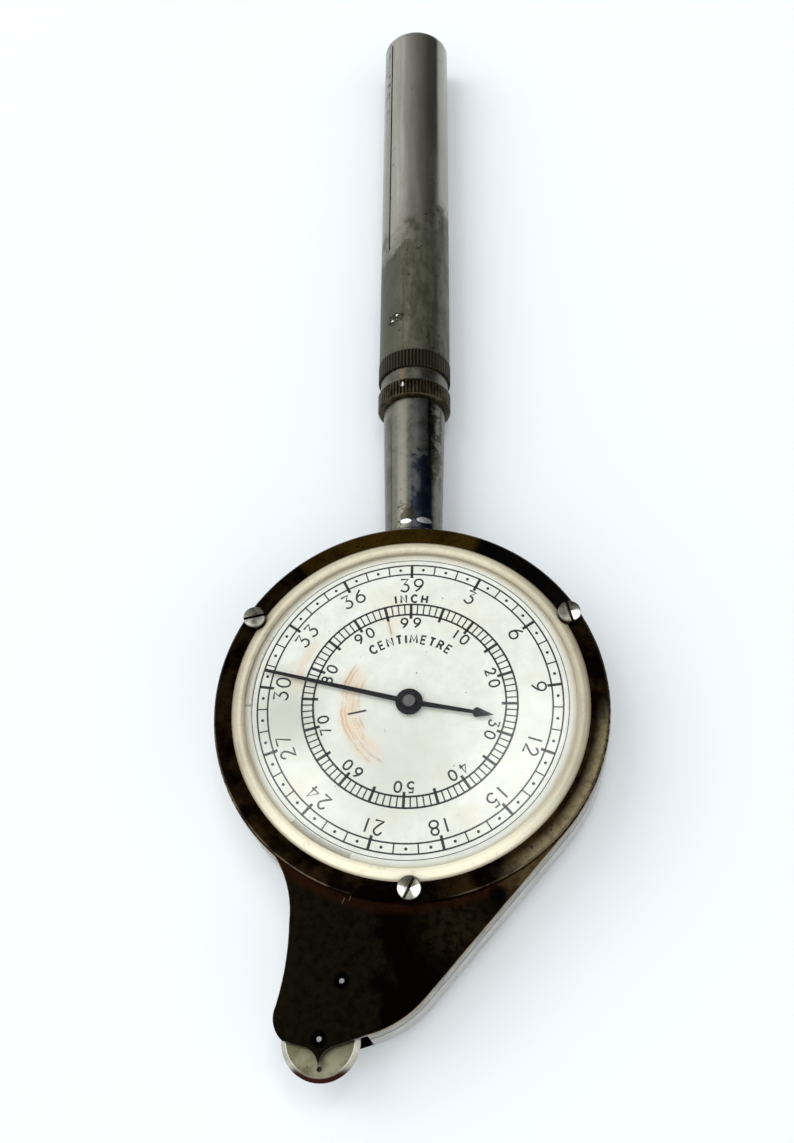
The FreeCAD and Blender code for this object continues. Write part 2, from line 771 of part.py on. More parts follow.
def front_shell():
    height = "case_height - seam_height"
    plate = height + " - shell_thickness"
    body = shell_tray("front_shell", height, False)
    round_edges(body, lies_at(size(height)), "front_edge_round", "FrontEdge")
    tip = new_sketch(body, "IndexOutline", "XY_Plane", plate)
    draw_outline(tip, index_outline())
    pad(body, tip, "shell_thickness", "Index")
    drill(body, "WheelMouth", [("wheel_x", "wheel_y")], "wheel_radius + mouth_gap", plate, plate)
    stem_notch(body, "axis_height - seam_height")
    sink(body, "OilSinks", [TRACING, SECOND], height)
    drill(body, "IdlerHole", [IDLER], "pivot_radius + pivot_shake", height, "2 * shell_thickness")
    drill(body, "BushHole", [CENTRE], "dial_hole", height, "2 * shell_thickness")
    circle = size("bezel_screw_circle")
    drill(body, "BezelScrewHoles", [clockwise(circle, turn) for turn, _ in BEZEL_SCREWS],
          "bezel_screw_shank + seat_play", height, "2 * shell_thickness")
    drill(body, "PillarMark", PILLARS[:1], "pillar_bore", height, "shell_thickness / 2")
    return keep(body, "front_shell", upright(z=size("seam_height")))


rear_shell()
front_shell()

pillars = [cylinder("Pillar%d" % i, "pillar_radius", "case_inside",
                    upright(size(x), size(y), size("shell_thickness")))
           for i, (x, y) in enumerate(PILLARS)]
bores = [cylinder("PillarBore%d" % i, "pillar_bore", "pillar_bore_depth",
                  upright(size(x), size(y), size("shell_thickness")))
         for i, (x, y) in enumerate(PILLARS)]
keep(joined("Part::Cut", "CasePillars", [joined("Part::Compound", "PillarRods", pillars),
                                         joined("Part::Compound", "PillarBores", bores)]), "case_pillars")


# ---------------------------------------------------------------- screws

def slotted_screw(name, head, rise, shank, length, slot_deep, placement):
    """Cheese-head screw: a head with a broken edge, a shank below it and a slot across the top."""
    top = cylinder(name + "Head", head, rise, upright())
    stem = cylinder(name + "Shank", shank, length, upright(z=-size(length)))
    blank = joined("Part::MultiFuse", name + "Blank", [top, stem])
    doc.recompute()
    soft = doc.addObject("Part::Chamfer", name + "Edge")
    soft.Base = blank
    rim = [i + 1 for i, edge in enumerate(blank.Shape.Edges)
           if lies_at(size(rise))(edge) and abs(edge.Curve.Radius - size(head)) < 1e-6]
    broken = size("screw_edge") if size("screw_edge") < size(rise) / 2 else size(rise) / 2
    soft.Edges = [(i, broken, broken) for i in rim]
    slot = box(name + "Slot", "2 * " + head, "slot_width", rise,
               FreeCAD.Placement(FreeCAD.Vector(-size(head), -size("slot_width") / 2,
                                                size(rise) - size(slot_deep)), FreeCAD.Rotation()))
    screw = joined("Part::Cut", name, [soft, slot])
    screw.Placement = placement
    return screw


def bezel_screws():
    members = []
    for i, (turn, slot_turn) in enumerate(BEZEL_SCREWS):
        x, y = clockwise(size("bezel_screw_circle"), turn)
        place = upright(x, y, size("case_height + bezel_height"), slot_turn)
        members.append(slotted_screw("BezelScrew%d" % i, "bezel_screw_head", "bezel_screw_rise",
                                     "bezel_screw_shank", "bezel_screw_length", "slot_depth", place))
    keep(joined("Part::Compound", "BezelScrews", members), "bezel_screws")


def back_screws():
    members = []
    for i, (x, y) in enumerate(PILLARS):
        face_down = FreeCAD.Rotation(X_AXIS, 180)
        place = FreeCAD.Placement(FreeCAD.Vector(size(x), size(y), size("back_screw_rise + seat_play")),
                                  face_down.multiply(FreeCAD.Rotation(Z_AXIS, 40 * i)))
        members.append(slotted_screw("BackScrew%d" % i, "back_screw_head", "back_screw_rise",
                                     "back_screw_shank", "back_screw_length", "back_screw_rise / 2", place))
    keep(joined("Part::Compound", "BackScrews", members), "back_screws")


bezel_screws()
back_screws()


# ---------------------------------------------------------------- dial, crystal, surround, bezel

turned("dial_plate", [
    ("dial_hole", "0"),
    ("glass_radius", "0"),
    ("glass_radius", "dial_thickness"),
    ("dial_hole", "dial_thickness"),
], upright(z=size("case_height")))

turned("crystal", [
    ("dome_bore", "0"),
    ("glass_radius", "0"),
    ("glass_radius", "flange_thickness"),
    ("dome_radius", "flange_thickness"),
    ("dome_radius", "flange_thickness + dome_side"),
    ("shoulder_x", "shoulder_z", "dome_shoulder", "left"),
    ("0", "shoulder_z + dome_crown", "crown_round", "left"),
    ("0", "shoulder_z + dome_crown - dome_wall"),
    ("shoulder_x", "shoulder_z - dome_wall", "crown_round", "right"),
    ("dome_bore", "shoulder_z - dome_shoulder", "shoulder_bore", "right"),
], upright(z=size("case_height + dial_thickness")))

screw_spots = [clockwise(size("bezel_screw_circle"), turn) for turn, _ in BEZEL_SCREWS]

surround = turned("dial_surround", [
    ("surround_inner", "0"),
    ("glass_radius", "0"),
    ("glass_radius", "surround_edge"),
    ("surround_inner", "surround_height", "surround_round", "left"),
], upright(z=size("case_height + dial_thickness + flange_thickness")))
drill(surround, "ScrewSeats", screw_spots, "bezel_screw_head + seat_play", "surround_edge",
      "surround_height", upward=True)

bezel = turned("bezel_ring", [
    ("bezel_bore", "0"),
    ("bezel_radius", "0"),
    ("bezel_radius", "bezel_height - bezel_chamfer"),
    ("bezel_radius - bezel_chamfer", "bezel_height"),
    ("bezel_bore", "bezel_height"),
], upright(z=size("case_height")))
drill(bezel, "ScrewHoles", screw_spots, "bezel_screw_shank + seat_play", "bezel_height",
      "2 * bezel_height")


# ---------------------------------------------------------------- needle

turned("needle_collet", [
    ("centre_tip_radius", "0"),
    ("collet_flange", "0"),
    ("collet_flange", "needle_lift - collet_lift"),
    ("collet_radius", "needle_lift - collet_lift"),
    ("collet_radius", "needle_lift - collet_lift + needle_thickness + collet_rise"),
    ("centre_tip_radius", "needle_lift - collet_lift + needle_thickness + collet_rise"),
], upright(z=size("collet_low")))


def blade(body, name, turn, corners):
    """Arm of the needle, drawn along its own +Y and turned to its place on the dial."""
    sketch = new_sketch(body, name)
    sketch.AttachmentOffset = upright(turn=-size(turn))
    draw_outline(sketch, corners)
    pad(body, sketch, "needle_thickness", name + "Blade")


def needle():
    """Blackened needle: a round eye, a long tapered pointer and a short arm with a spade head."""
    body = new_body("needle")
    eye = new_sketch(body, "Eye")
    draw_circle(eye, "0", "0", "needle_eye")
    pad(body, eye, "needle_thickness", "EyeDisc")
    blade(body, "Pointer", "needle_bearing", [
        ("needle_root_width / 2", "needle_root"),
        ("needle_tip_width / 2", "needle_reach"),
        ("-needle_tip_width / 2", "needle_reach"),
        ("-needle_root_width / 2", "needle_root"),
    ])
    blade(body, "Tail", "tail_bearing", [
        ("tail_root_width / 2", "needle_root"),
        ("tail_neck_width / 2", "head_back"),
        ("head_width / 2", "head_back + head_width / 3", "head_width / 2", "left"),
        ("0", "tail_reach"),
        ("-head_width / 2", "head_back + head_width / 3"),
        ("-tail_neck_width / 2", "head_back", "head_width / 2", "left"),
        ("-tail_root_width / 2", "needle_root"),
    ])
    drill(body, "ColletHole", [CENTRE], "collet_radius", "needle_thickness", "needle_thickness")
    keep(body, "needle", upright(z=size("needle_low")))


needle()


# ---------------------------------------------------------------- stem

def knurl(body, base, length, radius):
    """Ring of straight V grooves round a turned piece, from the height base on."""
    sketch = new_sketch(body, "KnurlGroove", "XY_Plane", base)
    half_width = "knurl_depth * 0.8"
    draw_outline(sketch, [
        (radius + " - knurl_depth", "0"),
        (radius + " + knurl_depth", "-2 * " + half_width),
        (radius + " + knurl_depth", "2 * " + half_width),
    ])
    groove = pocket(body, sketch, length, upward=True, name="Knurl")
    pattern = body.newObject("PartDesign::PolarPattern", "KnurlRing")
    pattern.Originals = [groove]
    pattern.Axis = (origin_part(body, "Z_Axis"), [""])
    pattern.Angle = FULL_TURN
    pattern.setExpression("Occurrences", cell_names("knurl_teeth"))
    body.Tip = pattern
    doc.recompute()


def stem_block():
    """Brass block between the shells, with the spigot that carries the ferrule."""
    body = new_body("stem_block")
    section = new_sketch(body, "BlockSection")
    side = "block_width / 2"
    half = "case_inside / 2"
    draw_outline(section, [
        ("-" + side, "-" + half), (side, "-" + half), (side, half), ("-" + side, half),
    ])
    pad(body, section, "block_depth", "Block")
    spigot = new_sketch(body, "SpigotSection", "XY_Plane", "block_depth")
    draw_circle(spigot, "0", "0", "ferrule_root - ferrule_wall - seat_play")
    pad(body, spigot, "block_spigot", "Spigot")
    keep(body, "stem_block", along_handle(size("block_face_y - block_depth")))


stem_block()

turned("stem_ferrule", [
    ("ferrule_root - ferrule_wall", "0"),
    ("ferrule_root", "0"),
    ("ferrule_root + ferrule_taper * bead_low", "bead_low"),
    ("ferrule_root + ferrule_bead", "bead_low + ferrule_bead_length / 2", "bead_round", "left"),
    ("ferrule_root + ferrule_taper * (bead_low + ferrule_bead_length)",
     "bead_low + ferrule_bead_length", "bead_round", "left"),
    ("ferrule_top", "ferrule_length"),
    ("ferrule_top - ferrule_wall", "ferrule_length"),
], along_handle(size("block_face_y")))

collar = turned("stem_collar", [
    ("stud_radius", "-collar_plug"),
    ("ferrule_top - ferrule_wall - seat_play - ferrule_taper * collar_plug", "-collar_plug"),
    ("ferrule_top - ferrule_wall - seat_play", "0"),
    ("ferrule_top", "0"),
    ("collar_radius", "collar_lip", "collar_lip", "left"),
    ("collar_radius", "collar_length"),
    ("neck_radius - neck_groove", "collar_length"),
    ("neck_radius", "collar_length + neck_groove"),
    ("neck_radius", "collar_top"),
    ("stud_radius", "collar_top"),
], along_handle(size("collar_y")))
knurl(collar, "collar_lip", "collar_length - collar_lip", "collar_radius")

turned("handle_stud", [
    ("0", "0"),
    ("stud_radius", "0"),
    ("stud_radius", "stud_top - stud_radius / 4"),
    ("stud_radius * 3 / 4", "stud_top"),
    ("0", "stud_top"),
], along_handle(size("collar_y - collar_plug")))


# ---------------------------------------------------------------- handle

def handle_tube():
    """Rolled tube with a knurled foot; its lengthwise seam stands open in the upper part."""
    body = turned("handle_tube", [
        ("tube_bore", "0"),
        ("handle_radius", "0"),
        ("collar_radius", "knurl_swell"),
        ("collar_radius", "handle_knurl_length"),
        ("handle_radius", "handle_knurl_length + knurl_swell"),
        ("handle_radius", "tube_length"),
        ("tube_bore", "tube_length"),
    ], along_handle(size("tube_low_y")))
    knurl(body, "0", "handle_knurl_length", "collar_radius")
    slit = new_sketch(body, "SlitSection", "XY_Plane")
    slit.AttachmentOffset = upright(z=size("slit_start"), turn=270 - size("slit_bearing"))
    draw_outline(slit, [
        ("handle_radius - 2 * handle_wall", "-slit_width / 2"),
        ("handle_radius + handle_wall", "-slit_width / 2"),
        ("handle_radius + handle_wall", "slit_width / 2"),
        ("handle_radius - 2 * handle_wall", "slit_width / 2"),
    ])
    pocket(body, slit, "handle_length - slit_end_gap - slit_start", upward=True, name="Slit")


handle_tube()

turned("handle_bush", [
    ("stud_radius + stud_play", "0"),
    ("tube_bore", "0"),
    ("tube_bore", "bush_length"),
    ("stud_radius + stud_play", "bush_length"),
], along_handle(size("tube_low_y")))

turned("handle_end_cap", [
    ("0", "0"),
    ("tube_bore", "0"),
    ("tube_bore", "cap_plug"),
    ("handle_radius", "cap_plug"),
    ("tube_bore", "cap_plug + cap_flange", "handle_wall * 1.2", "left"),
    ("0", "cap_plug + cap_flange"),
], along_handle(size("tube_low_y + tube_length - cap_plug")))


# ---------------------------------------------------------------- checks and files

doc.recompute()
for item in doc.Objects:
    if "Invalid" in item.State or "Error" in item.State:
        raise RuntimeError("%s is not valid" % item.Label)

os.makedirs("parts", exist_ok=True)
for piece in PARTS:
    if piece.Shape.isNull() or not piece.Shape.isValid() or piece.Shape.Volume <= 0:
        raise RuntimeError("%s has no sound solid" % piece.Label)
    piece.Shape.exportStep("parts/%s.step" % piece.Label)
    print("%-16s %8.3f mm3" % (piece.Label, piece.Shape.Volume))
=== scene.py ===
import math

import bpy
from bpy.props import FloatProperty, FloatVectorProperty, IntProperty, PointerProperty
from mathutils import Matrix, Vector


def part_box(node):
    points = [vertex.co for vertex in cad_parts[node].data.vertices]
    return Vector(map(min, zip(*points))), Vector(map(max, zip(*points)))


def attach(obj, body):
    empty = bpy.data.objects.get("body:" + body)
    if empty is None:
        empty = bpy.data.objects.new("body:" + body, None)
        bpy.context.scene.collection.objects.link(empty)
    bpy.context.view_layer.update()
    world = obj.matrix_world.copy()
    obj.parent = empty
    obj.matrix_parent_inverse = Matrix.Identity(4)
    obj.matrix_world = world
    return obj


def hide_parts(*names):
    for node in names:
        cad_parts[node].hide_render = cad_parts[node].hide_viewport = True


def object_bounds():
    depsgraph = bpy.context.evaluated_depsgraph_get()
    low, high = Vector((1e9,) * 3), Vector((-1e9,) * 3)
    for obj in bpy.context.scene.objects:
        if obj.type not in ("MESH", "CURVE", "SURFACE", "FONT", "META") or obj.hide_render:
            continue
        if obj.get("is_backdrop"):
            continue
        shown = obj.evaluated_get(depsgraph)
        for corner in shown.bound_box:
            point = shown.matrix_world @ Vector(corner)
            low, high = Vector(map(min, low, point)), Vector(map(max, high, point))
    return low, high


bl_info = {
    "name": "Opisometer",
    "version": (1, 0, 0),
    "blender": (4, 5, 0),
    "location": "3D View > Sidebar > Opisometer",
    "description": "Prints the dial and gives the finishes of a pocket map measurer",
    "category": "Object",
}

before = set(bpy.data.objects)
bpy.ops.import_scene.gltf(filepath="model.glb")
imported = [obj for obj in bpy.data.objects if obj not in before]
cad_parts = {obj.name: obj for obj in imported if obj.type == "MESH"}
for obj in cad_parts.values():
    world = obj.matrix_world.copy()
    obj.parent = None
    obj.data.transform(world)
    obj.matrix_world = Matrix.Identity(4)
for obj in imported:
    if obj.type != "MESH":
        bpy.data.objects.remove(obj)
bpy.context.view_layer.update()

MM = 0.001
DIAL_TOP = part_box("dial_plate")[1][2]
PLATE_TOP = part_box("front_shell")[1][2]
CASE_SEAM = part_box("front_shell")[0][2]
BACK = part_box("rear_shell")[0][2]
BEZEL_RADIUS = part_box("bezel_ring")[1][0]
BEZEL_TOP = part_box("bezel_ring")[1][2]
TUBE_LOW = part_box("handle_tube")[0]
TUBE_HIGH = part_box("handle_tube")[1]
HANDLE_AXIS = (TUBE_LOW[2] + TUBE_HIGH[2]) / 2
CAP_LOW, CAP_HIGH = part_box("handle_end_cap")
STEM_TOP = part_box("stem_ferrule")[1][1]
WHEEL_LOW, WHEEL_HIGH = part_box("tracing_wheel")
WHEEL_CENTRE = ((WHEEL_LOW[0] + WHEEL_HIGH[0]) / 2, (WHEEL_LOW[1] + WHEEL_HIGH[1]) / 2, WHEEL_HIGH[2])
WHEEL_RADIUS = (WHEEL_HIGH[0] - WHEEL_LOW[0]) / 2


# ---------------------------------------------------------------- settings

def length(name, description, default):
    return FloatProperty(name=name, description=description, default=default, unit="LENGTH", precision=5)


def angle(name, description, degrees):
    return FloatProperty(name=name, description=description, default=math.radians(degrees), unit="ROTATION")


def colour(name, description, *rgb):
    return FloatVectorProperty(name=name, description=description, default=rgb, size=3, min=0, max=1,
                               subtype="COLOR")


def amount(name, description, default):
    return FloatProperty(name=name, description=description, default=default, min=0, max=1,
                         subtype="FACTOR")


class DialSettings(bpy.types.PropertyGroup):
    """Sizes of the printing on the dial."""
    turn: angle("Print turn", "Clockwise turn of the printing about the dial's axis", 0.83)
    offset: FloatVectorProperty(name="Print offset", description="How far the printing sits off the dial's axis",
                                size=2, default=(-0.05 * MM, 0.12 * MM), precision=5, unit="LENGTH")
    ink_height: length("Ink height", "Thickness of the printed ink", 0.012 * MM)
    line: length("Line", "Width of a circle of the inch track", 0.16 * MM)
    cell_line: length("Centimetre line", "Width of a circle of the centimetre track", 0.19 * MM)
    tick: length("Tick", "Width of a thin tick", 0.13 * MM)
    bold: length("Bold tick", "Width of a bold tick", 0.28 * MM)
    dot: length("Dot", "Radius of the half-way dots", 0.15 * MM)
    inch_outer: length("Inch track outside", "Outer radius of the inch track", 14.757 * MM)
    inch_inner: length("Inch track inside", "Inner radius of the inch track", 13.762 * MM)
    inch_bold: length("Inch tick foot", "Radius at which a bold inch tick ends", 13.36 * MM)
    border: length("Border", "Radius of the thin circle outside the inch track", 15.30 * MM)
    hairline: length("Hairline", "Width of the border", 0.07 * MM)
    cell_outer: length("Centimetre track outside", "Outer radius of the centimetre track", 10.42 * MM)
    cell_inner: length("Centimetre track inside", "Inner radius of the centimetre track", 9.32 * MM)
    cell_bold: length("Centimetre tick foot", "Radius at which a bold centimetre tick ends", 8.87 * MM)
    inch_count: IntProperty(name="Inches", description="Inches in one turn", default=39)
    inch_step: IntProperty(name="Inch step", description="Inches between two numbers", default=3)
    cell_count: IntProperty(name="Centimetres", description="Centimetres in one turn", default=99)
    cell_step: IntProperty(name="Centimetre step", description="Centimetres between bold ticks", default=5)
    number_step: IntProperty(name="Number step", description="Centimetres between two numbers", default=10)
    inch_number: length("Inch number radius", "Radius of the middle of the inch numbers", 12.55 * MM)
    inch_height: length("Inch number height", "Height of the inch numbers", 1.36 * MM)
    inch_gap: length("Inch number gap", "Space between two figures of an inch number", 0.58 * MM)
    cell_number: length("Centimetre number radius", "Radius of the middle of the numbers", 8.42 * MM)
    cell_height: length("Centimetre number height", "Height of the centimetre numbers", 1.00 * MM)
    cell_gap: length("Centimetre number gap", "Space between two figures of such a number", 0.62 * MM)
    pen: length("Pen", "Line width of the figures", 0.19 * MM)
    inch_word: length("Inch word radius", "Radius of the middle of the upper word", 11.06 * MM)
    inch_word_height: length("Inch word height", "Height of the capitals of the upper word", 0.80 * MM)
    inch_word_gap: length("Inch word gap", "Space between two capitals of the upper word", 0.53 * MM)
    cell_word: length("Centimetre word radius", "Radius of the middle of the lower word", 6.67 * MM)
    cell_word_height: length("Centimetre word height", "Height of its capitals", 0.84 * MM)
    cell_word_gap: length("Centimetre word gap", "Space between two of its capitals", 0.42 * MM)
    word_pen: length("Word pen", "Line width of the capitals", 0.215 * MM)
    ink: colour("Ink", "Colour of the printing", 0.003, 0.003, 0.0035)


class PieceSettings(bpy.types.PropertyGroup):
    """Sizes of the small pieces that are turned again for a finer look."""
    screw_circle: length("Screw circle", "Distance of the bezel screws from the dial's axis", 17.93 * MM)
    screw_head: length("Screw head", "Radius of a bezel screw's head", 1.10 * MM)
    screw_rise: length("Screw rise", "Height of a head over the bezel", 0.90 * MM)
    screw_edge: length("Screw edge", "Rounding of a head's edge", 0.12 * MM)
    slot_width: length("Slot width", "Width of a screw's slot", 0.27 * MM)
    slot_depth: length("Slot depth", "Depth of a screw's slot", 0.45 * MM)
    cap_length: length("Cap length", "How far the end cap stands over the tube", 0.75 * MM)
    cap_edge: length("Cap edge", "Rounding of the end cap", 0.40 * MM)
    lip_length: length("Lip length", "Length of the collar's smooth lip before it is cut back", 0.80 * MM)
    lip_share: amount("Lip share", "Share of the lip that is kept", 0.35)
    slit_turn: angle("Slit turn", "Turn of the tube that brings its slit towards the front", 6.8)
    slit_foot: length("Slit foot", "Height of the slit's lower end over the tube's foot", 15.7 * MM)
    slit_cut: length("Slit cut", "How far the slit's lower end is moved up", 1.40 * MM)
    needle_tip: length("Needle tip", "Width of the needle's long arm at its end", 0.30 * MM)


class StageSettings(bpy.types.PropertyGroup):
    """Camera, floor and lights."""
    lens: FloatProperty(name="Lens", description="Focal length", default=41.89, unit="CAMERA")
    eye: FloatVectorProperty(name="Camera place", description="Place of the camera", size=3,
                             default=(10.156 * MM, -45.908 * MM, 126.574 * MM), subtype="TRANSLATION")
    target: FloatVectorProperty(name="Target", description="Point in the middle of the view", size=3,
                                default=(-1.333 * MM, 14.096 * MM, 7.4 * MM), subtype="TRANSLATION")
    roll: angle("Roll", "Turn of the camera about its line of sight", 0.679)
    floor: colour("Floor", "Colour of the floor", 0.82, 0.845, 0.865)
    floor_gap: length("Floor gap", "Height of the part's lowest point over the floor", 0.02 * MM)


SETTINGS = {"opisometer_pieces": PieceSettings, "opisometer_dial": DialSettings, "opisometer_stage": StageSettings}


# ---------------------------------------------------------------- helpers: meshes

def deselect():
    for obj in bpy.context.selected_objects:
        obj.select_set(False)


def only(obj):
    """Select one object and make it active."""
    deselect()
    obj.select_set(True)
    bpy.context.view_layer.objects.active = obj


def settle(obj, matrix):
    """Put a new object's place into its mesh, so that the object stands unturned at the origin."""
    obj.data.transform(matrix)
    obj.matrix_world = Matrix()


def merged(objects, name):
    """One object made of several, under a new name."""
    deselect()
    for obj in objects:
        obj.select_set(True)
    bpy.context.view_layer.objects.active = objects[0]
    if len(objects) > 1:
        bpy.ops.object.join()
    joined = bpy.context.view_layer.objects.active
    joined.name = name
    joined.data.name = name
    return joined


def copy_of(obj):
    twin = obj.copy()
    twin.data = obj.data.copy()
    bpy.context.collection.objects.link(twin)
    return twin


def on_dial(degrees, radius, turn=0.0):
    """Matrix that carries something drawn at the origin, with +Y up, to a clockwise bearing on the dial."""
    x, y = bpy.context.scene.opisometer_dial.offset
    heading = Matrix.Translation((x, y, DIAL_TOP)) @ Matrix.Rotation(-math.radians(degrees), 4, "Z")
    return heading @ Matrix.Translation((0, radius, 0)) @ Matrix.Rotation(-math.radians(turn), 4, "Z")


def flat_bar(width, low, high, thickness):
    """Thin bar along +Y from one radius to another, lying on the dial."""
    deselect()
    bpy.ops.mesh.primitive_plane_add(size=1)
    bar = bpy.context.object
    settle(bar, Matrix.Translation((0, (low + high) / 2, 0)) @ Matrix.Diagonal((width, high - low, 1, 1)))
    raise_ink(bar, thickness)
    return bar


def flat_disc(radius, thickness, vertices=16):
    deselect()
    bpy.ops.mesh.primitive_circle_add(vertices=vertices, radius=radius, fill_type="NGON")
    disc = bpy.context.object
    raise_ink(disc, thickness)
    return disc


def flat_ring(radius, width, thickness, vertices=180):
    """Thin printed circle: a disc is inset by the line's width and its middle is deleted."""
    deselect()
    bpy.ops.mesh.primitive_circle_add(vertices=vertices, radius=radius + width / 2, fill_type="NGON")
    ring = bpy.context.object
    bpy.ops.object.mode_set(mode="EDIT")
    bpy.ops.mesh.select_all(action="SELECT")
    bpy.ops.mesh.inset(thickness=width)
    bpy.ops.mesh.delete(type="FACE")
    bpy.ops.object.mode_set(mode="OBJECT")
    raise_ink(ring, thickness)
    return ring


def raise_ink(obj, thickness):
    """Give a flat shape its thickness, upwards, with all faces pointing out."""
    only(obj)
    bpy.ops.object.mode_set(mode="EDIT")
    bpy.ops.mesh.select_all(action="SELECT")
    bpy.ops.mesh.extrude_region_move(TRANSFORM_OT_translate={"value": (0, 0, thickness)})
    bpy.ops.mesh.select_all(action="SELECT")
    bpy.ops.mesh.normals_make_consistent(inside=False)
    bpy.ops.object.mode_set(mode="OBJECT")


def smooth_twin(node, name, degrees):
    """A CAD node's own shape as one closed skin, shaded smoothly up to an angle; it stands for the node."""
    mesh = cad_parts[node].data.copy()
    mesh.name = name
    twin = bpy.data.objects.new(name, mesh)
    bpy.context.collection.objects.link(twin)
    only(twin)
    bpy.ops.object.mode_set(mode="EDIT")
    bpy.ops.mesh.select_all(action="SELECT")
    bpy.ops.mesh.remove_doubles(threshold=0.001 * MM)
    bpy.ops.object.mode_set(mode="OBJECT")
    bpy.ops.mesh.customdata_custom_splitnormals_clear()
    bpy.ops.object.shade_smooth_by_angle(angle=math.radians(degrees))
    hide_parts(node)
    return twin


def round_top(obj, width):
    """Round the edge between an upright round block's top and its side."""
    only(obj)
    top = max(v.co.z for v in obj.data.vertices)
    for edge in obj.data.edges:
        edge.select = all(obj.data.vertices[i].co.z > top - 0.001 * MM for i in edge.vertices)
    for face in obj.data.polygons:
        face.select = False
    for vertex in obj.data.vertices:
        vertex.select = vertex.co.z > top - 0.001 * MM
    bpy.ops.object.mode_set(mode="EDIT")
    bpy.ops.mesh.select_mode(type="EDGE")
    bpy.ops.mesh.bevel(offset=width, segments=4, affect="EDGES")
    bpy.ops.object.mode_set(mode="OBJECT")


# ---------------------------------------------------------------- helpers: materials

class Shader:
    """A node tree with a Principled shader, built up by short calls."""

    def __init__(self, name, inputs=None):
        self.material = bpy.data.materials.new(name)
        self.material.use_nodes = True
        self.tree = self.material.node_tree
        self.shader = self.tree.nodes["Principled BSDF"]
        self.place = self.new("ShaderNodeTexCoord").outputs["Object"]
        for socket, value in (inputs or {}).items():
            self.shader.inputs[socket].default_value = value

    def new(self, kind, **settings):
        node = self.tree.nodes.new(kind)
        for key, value in settings.items():
            setattr(node, key, value)
        return node

    def link(self, source, socket):
        self.tree.links.new(source, socket)

    def noise(self, scale, detail=4.0, roughness=0.55, stretch=(1, 1, 1), offset=(0, 0, 0)):
        """Noise with features about 1/scale metres wide; stretch squeezes it along an axis."""
        mapping = self.new("ShaderNodeMapping")
        mapping.inputs["Scale"].default_value = stretch
        mapping.inputs["Location"].default_value = offset
        self.link(self.place, mapping.inputs["Vector"])
        noise = self.new("ShaderNodeTexNoise")
        noise.inputs["Scale"].default_value = scale
        noise.inputs["Detail"].default_value = detail
        noise.inputs["Roughness"].default_value = roughness
        self.link(mapping.outputs["Vector"], noise.inputs["Vector"])
        return noise.outputs["Fac"]

    def ramp(self, source, low, high, start=0.0, end=1.0):
        """Value that goes from start to end as source goes from low to high."""
        node = self.new("ShaderNodeMapRange", interpolation_type="SMOOTHSTEP")
        node.inputs["From Min"].default_value = low
        node.inputs["From Max"].default_value = high
        node.inputs["To Min"].default_value = start
        node.inputs["To Max"].default_value = end
        self.link(source, node.inputs["Value"])
        return node.outputs["Result"]

    def ramp_line(self, source, low, high, start, end):
        """As ramp, but in a straight line."""
        node = self.new("ShaderNodeMapRange")
        node.inputs["From Min"].default_value = low
        node.inputs["From Max"].default_value = high
        node.inputs["To Min"].default_value = start
        node.inputs["To Max"].default_value = end
        self.link(source, node.inputs["Value"])
        return node.outputs["Result"]

    def calc(self, operation, first, second=None):
        node = self.new("ShaderNodeMath", operation=operation)
        for socket, value in zip(node.inputs, (first, second)):
            if value is None:
                continue
            if isinstance(value, (int, float)):
                socket.default_value = value
            else:
                self.link(value, socket)
        return node.outputs[0]

    def axis(self, name):
        node = self.new("ShaderNodeSeparateXYZ")
        self.link(self.place, node.inputs[0])
        return node.outputs[name]

    def bearing(self, right=0):
        """Clockwise bearing in degrees, 0 towards the handle, about the dial's axis or a point right of it."""
        across = self.calc("SUBTRACT", self.axis("X"), right)
        return self.calc("MULTIPLY", self.calc("ARCTAN2", across, self.axis("Y")), math.degrees(1))

    def distance(self, centre, scale=(1, 1, 1)):
        """Distance from a point; an axis with scale 0 is left out."""
        mapping = self.new("ShaderNodeMapping")
        mapping.inputs["Location"].default_value = [-c * s for c, s in zip(centre, scale)]
        mapping.inputs["Scale"].default_value = scale
        self.link(self.place, mapping.inputs["Vector"])
        node = self.new("ShaderNodeVectorMath", operation="LENGTH")
        self.link(mapping.outputs["Vector"], node.inputs[0])
        return node.outputs["Value"]

    def mix(self, factor, first, second):
        """Mix two colours, or a colour and the result of another mix."""
        node = self.new("ShaderNodeMix", data_type="RGBA")
        self.link(factor, node.inputs["Factor"])
        for socket, value in ((node.inputs[6], first), (node.inputs[7], second)):
            if isinstance(value, (tuple, list)):
                socket.default_value = (*value, 1)
            else:
                self.link(value, socket)
        return node.outputs[2]

    def band(self, value, low, high, soft):
        """1 between low and high, falling to 0 over the soft width on both sides."""
        return self.calc("MULTIPLY", self.ramp(value, low - soft, low), self.ramp(value, high, high + soft, 1, 0))

    def blob(self, centre, inner, outer):
        """1 near a point, falling to 0 at the outer distance."""
        return self.ramp(self.distance(centre), inner, outer, 1, 0)

    def stroke(self, middle, heading, half_length, half_width, soft):
        """Straight mark, seen from above; heading is its clockwise bearing in degrees."""
        mapping = self.new("ShaderNodeMapping", vector_type="TEXTURE")
        mapping.inputs["Location"].default_value = (*middle, 0)
        mapping.inputs["Rotation"].default_value = (0, 0, -math.radians(heading))
        self.link(self.place, mapping.inputs["Vector"])
        split = self.new("ShaderNodeSeparateXYZ")
        self.link(mapping.outputs["Vector"], split.inputs[0])
        across = self.ramp(self.calc("ABSOLUTE", split.outputs["X"]), half_width, half_width + soft, 1, 0)
        along = self.ramp(self.calc("ABSOLUTE", split.outputs["Y"]), half_length, half_length + 3 * soft, 1, 0)
        return self.calc("MULTIPLY", across, along)

    def base(self, colour):
        self.link(colour, self.shader.inputs["Base Color"])

    def roughness(self, value):
        self.link(value, self.shader.inputs["Roughness"])

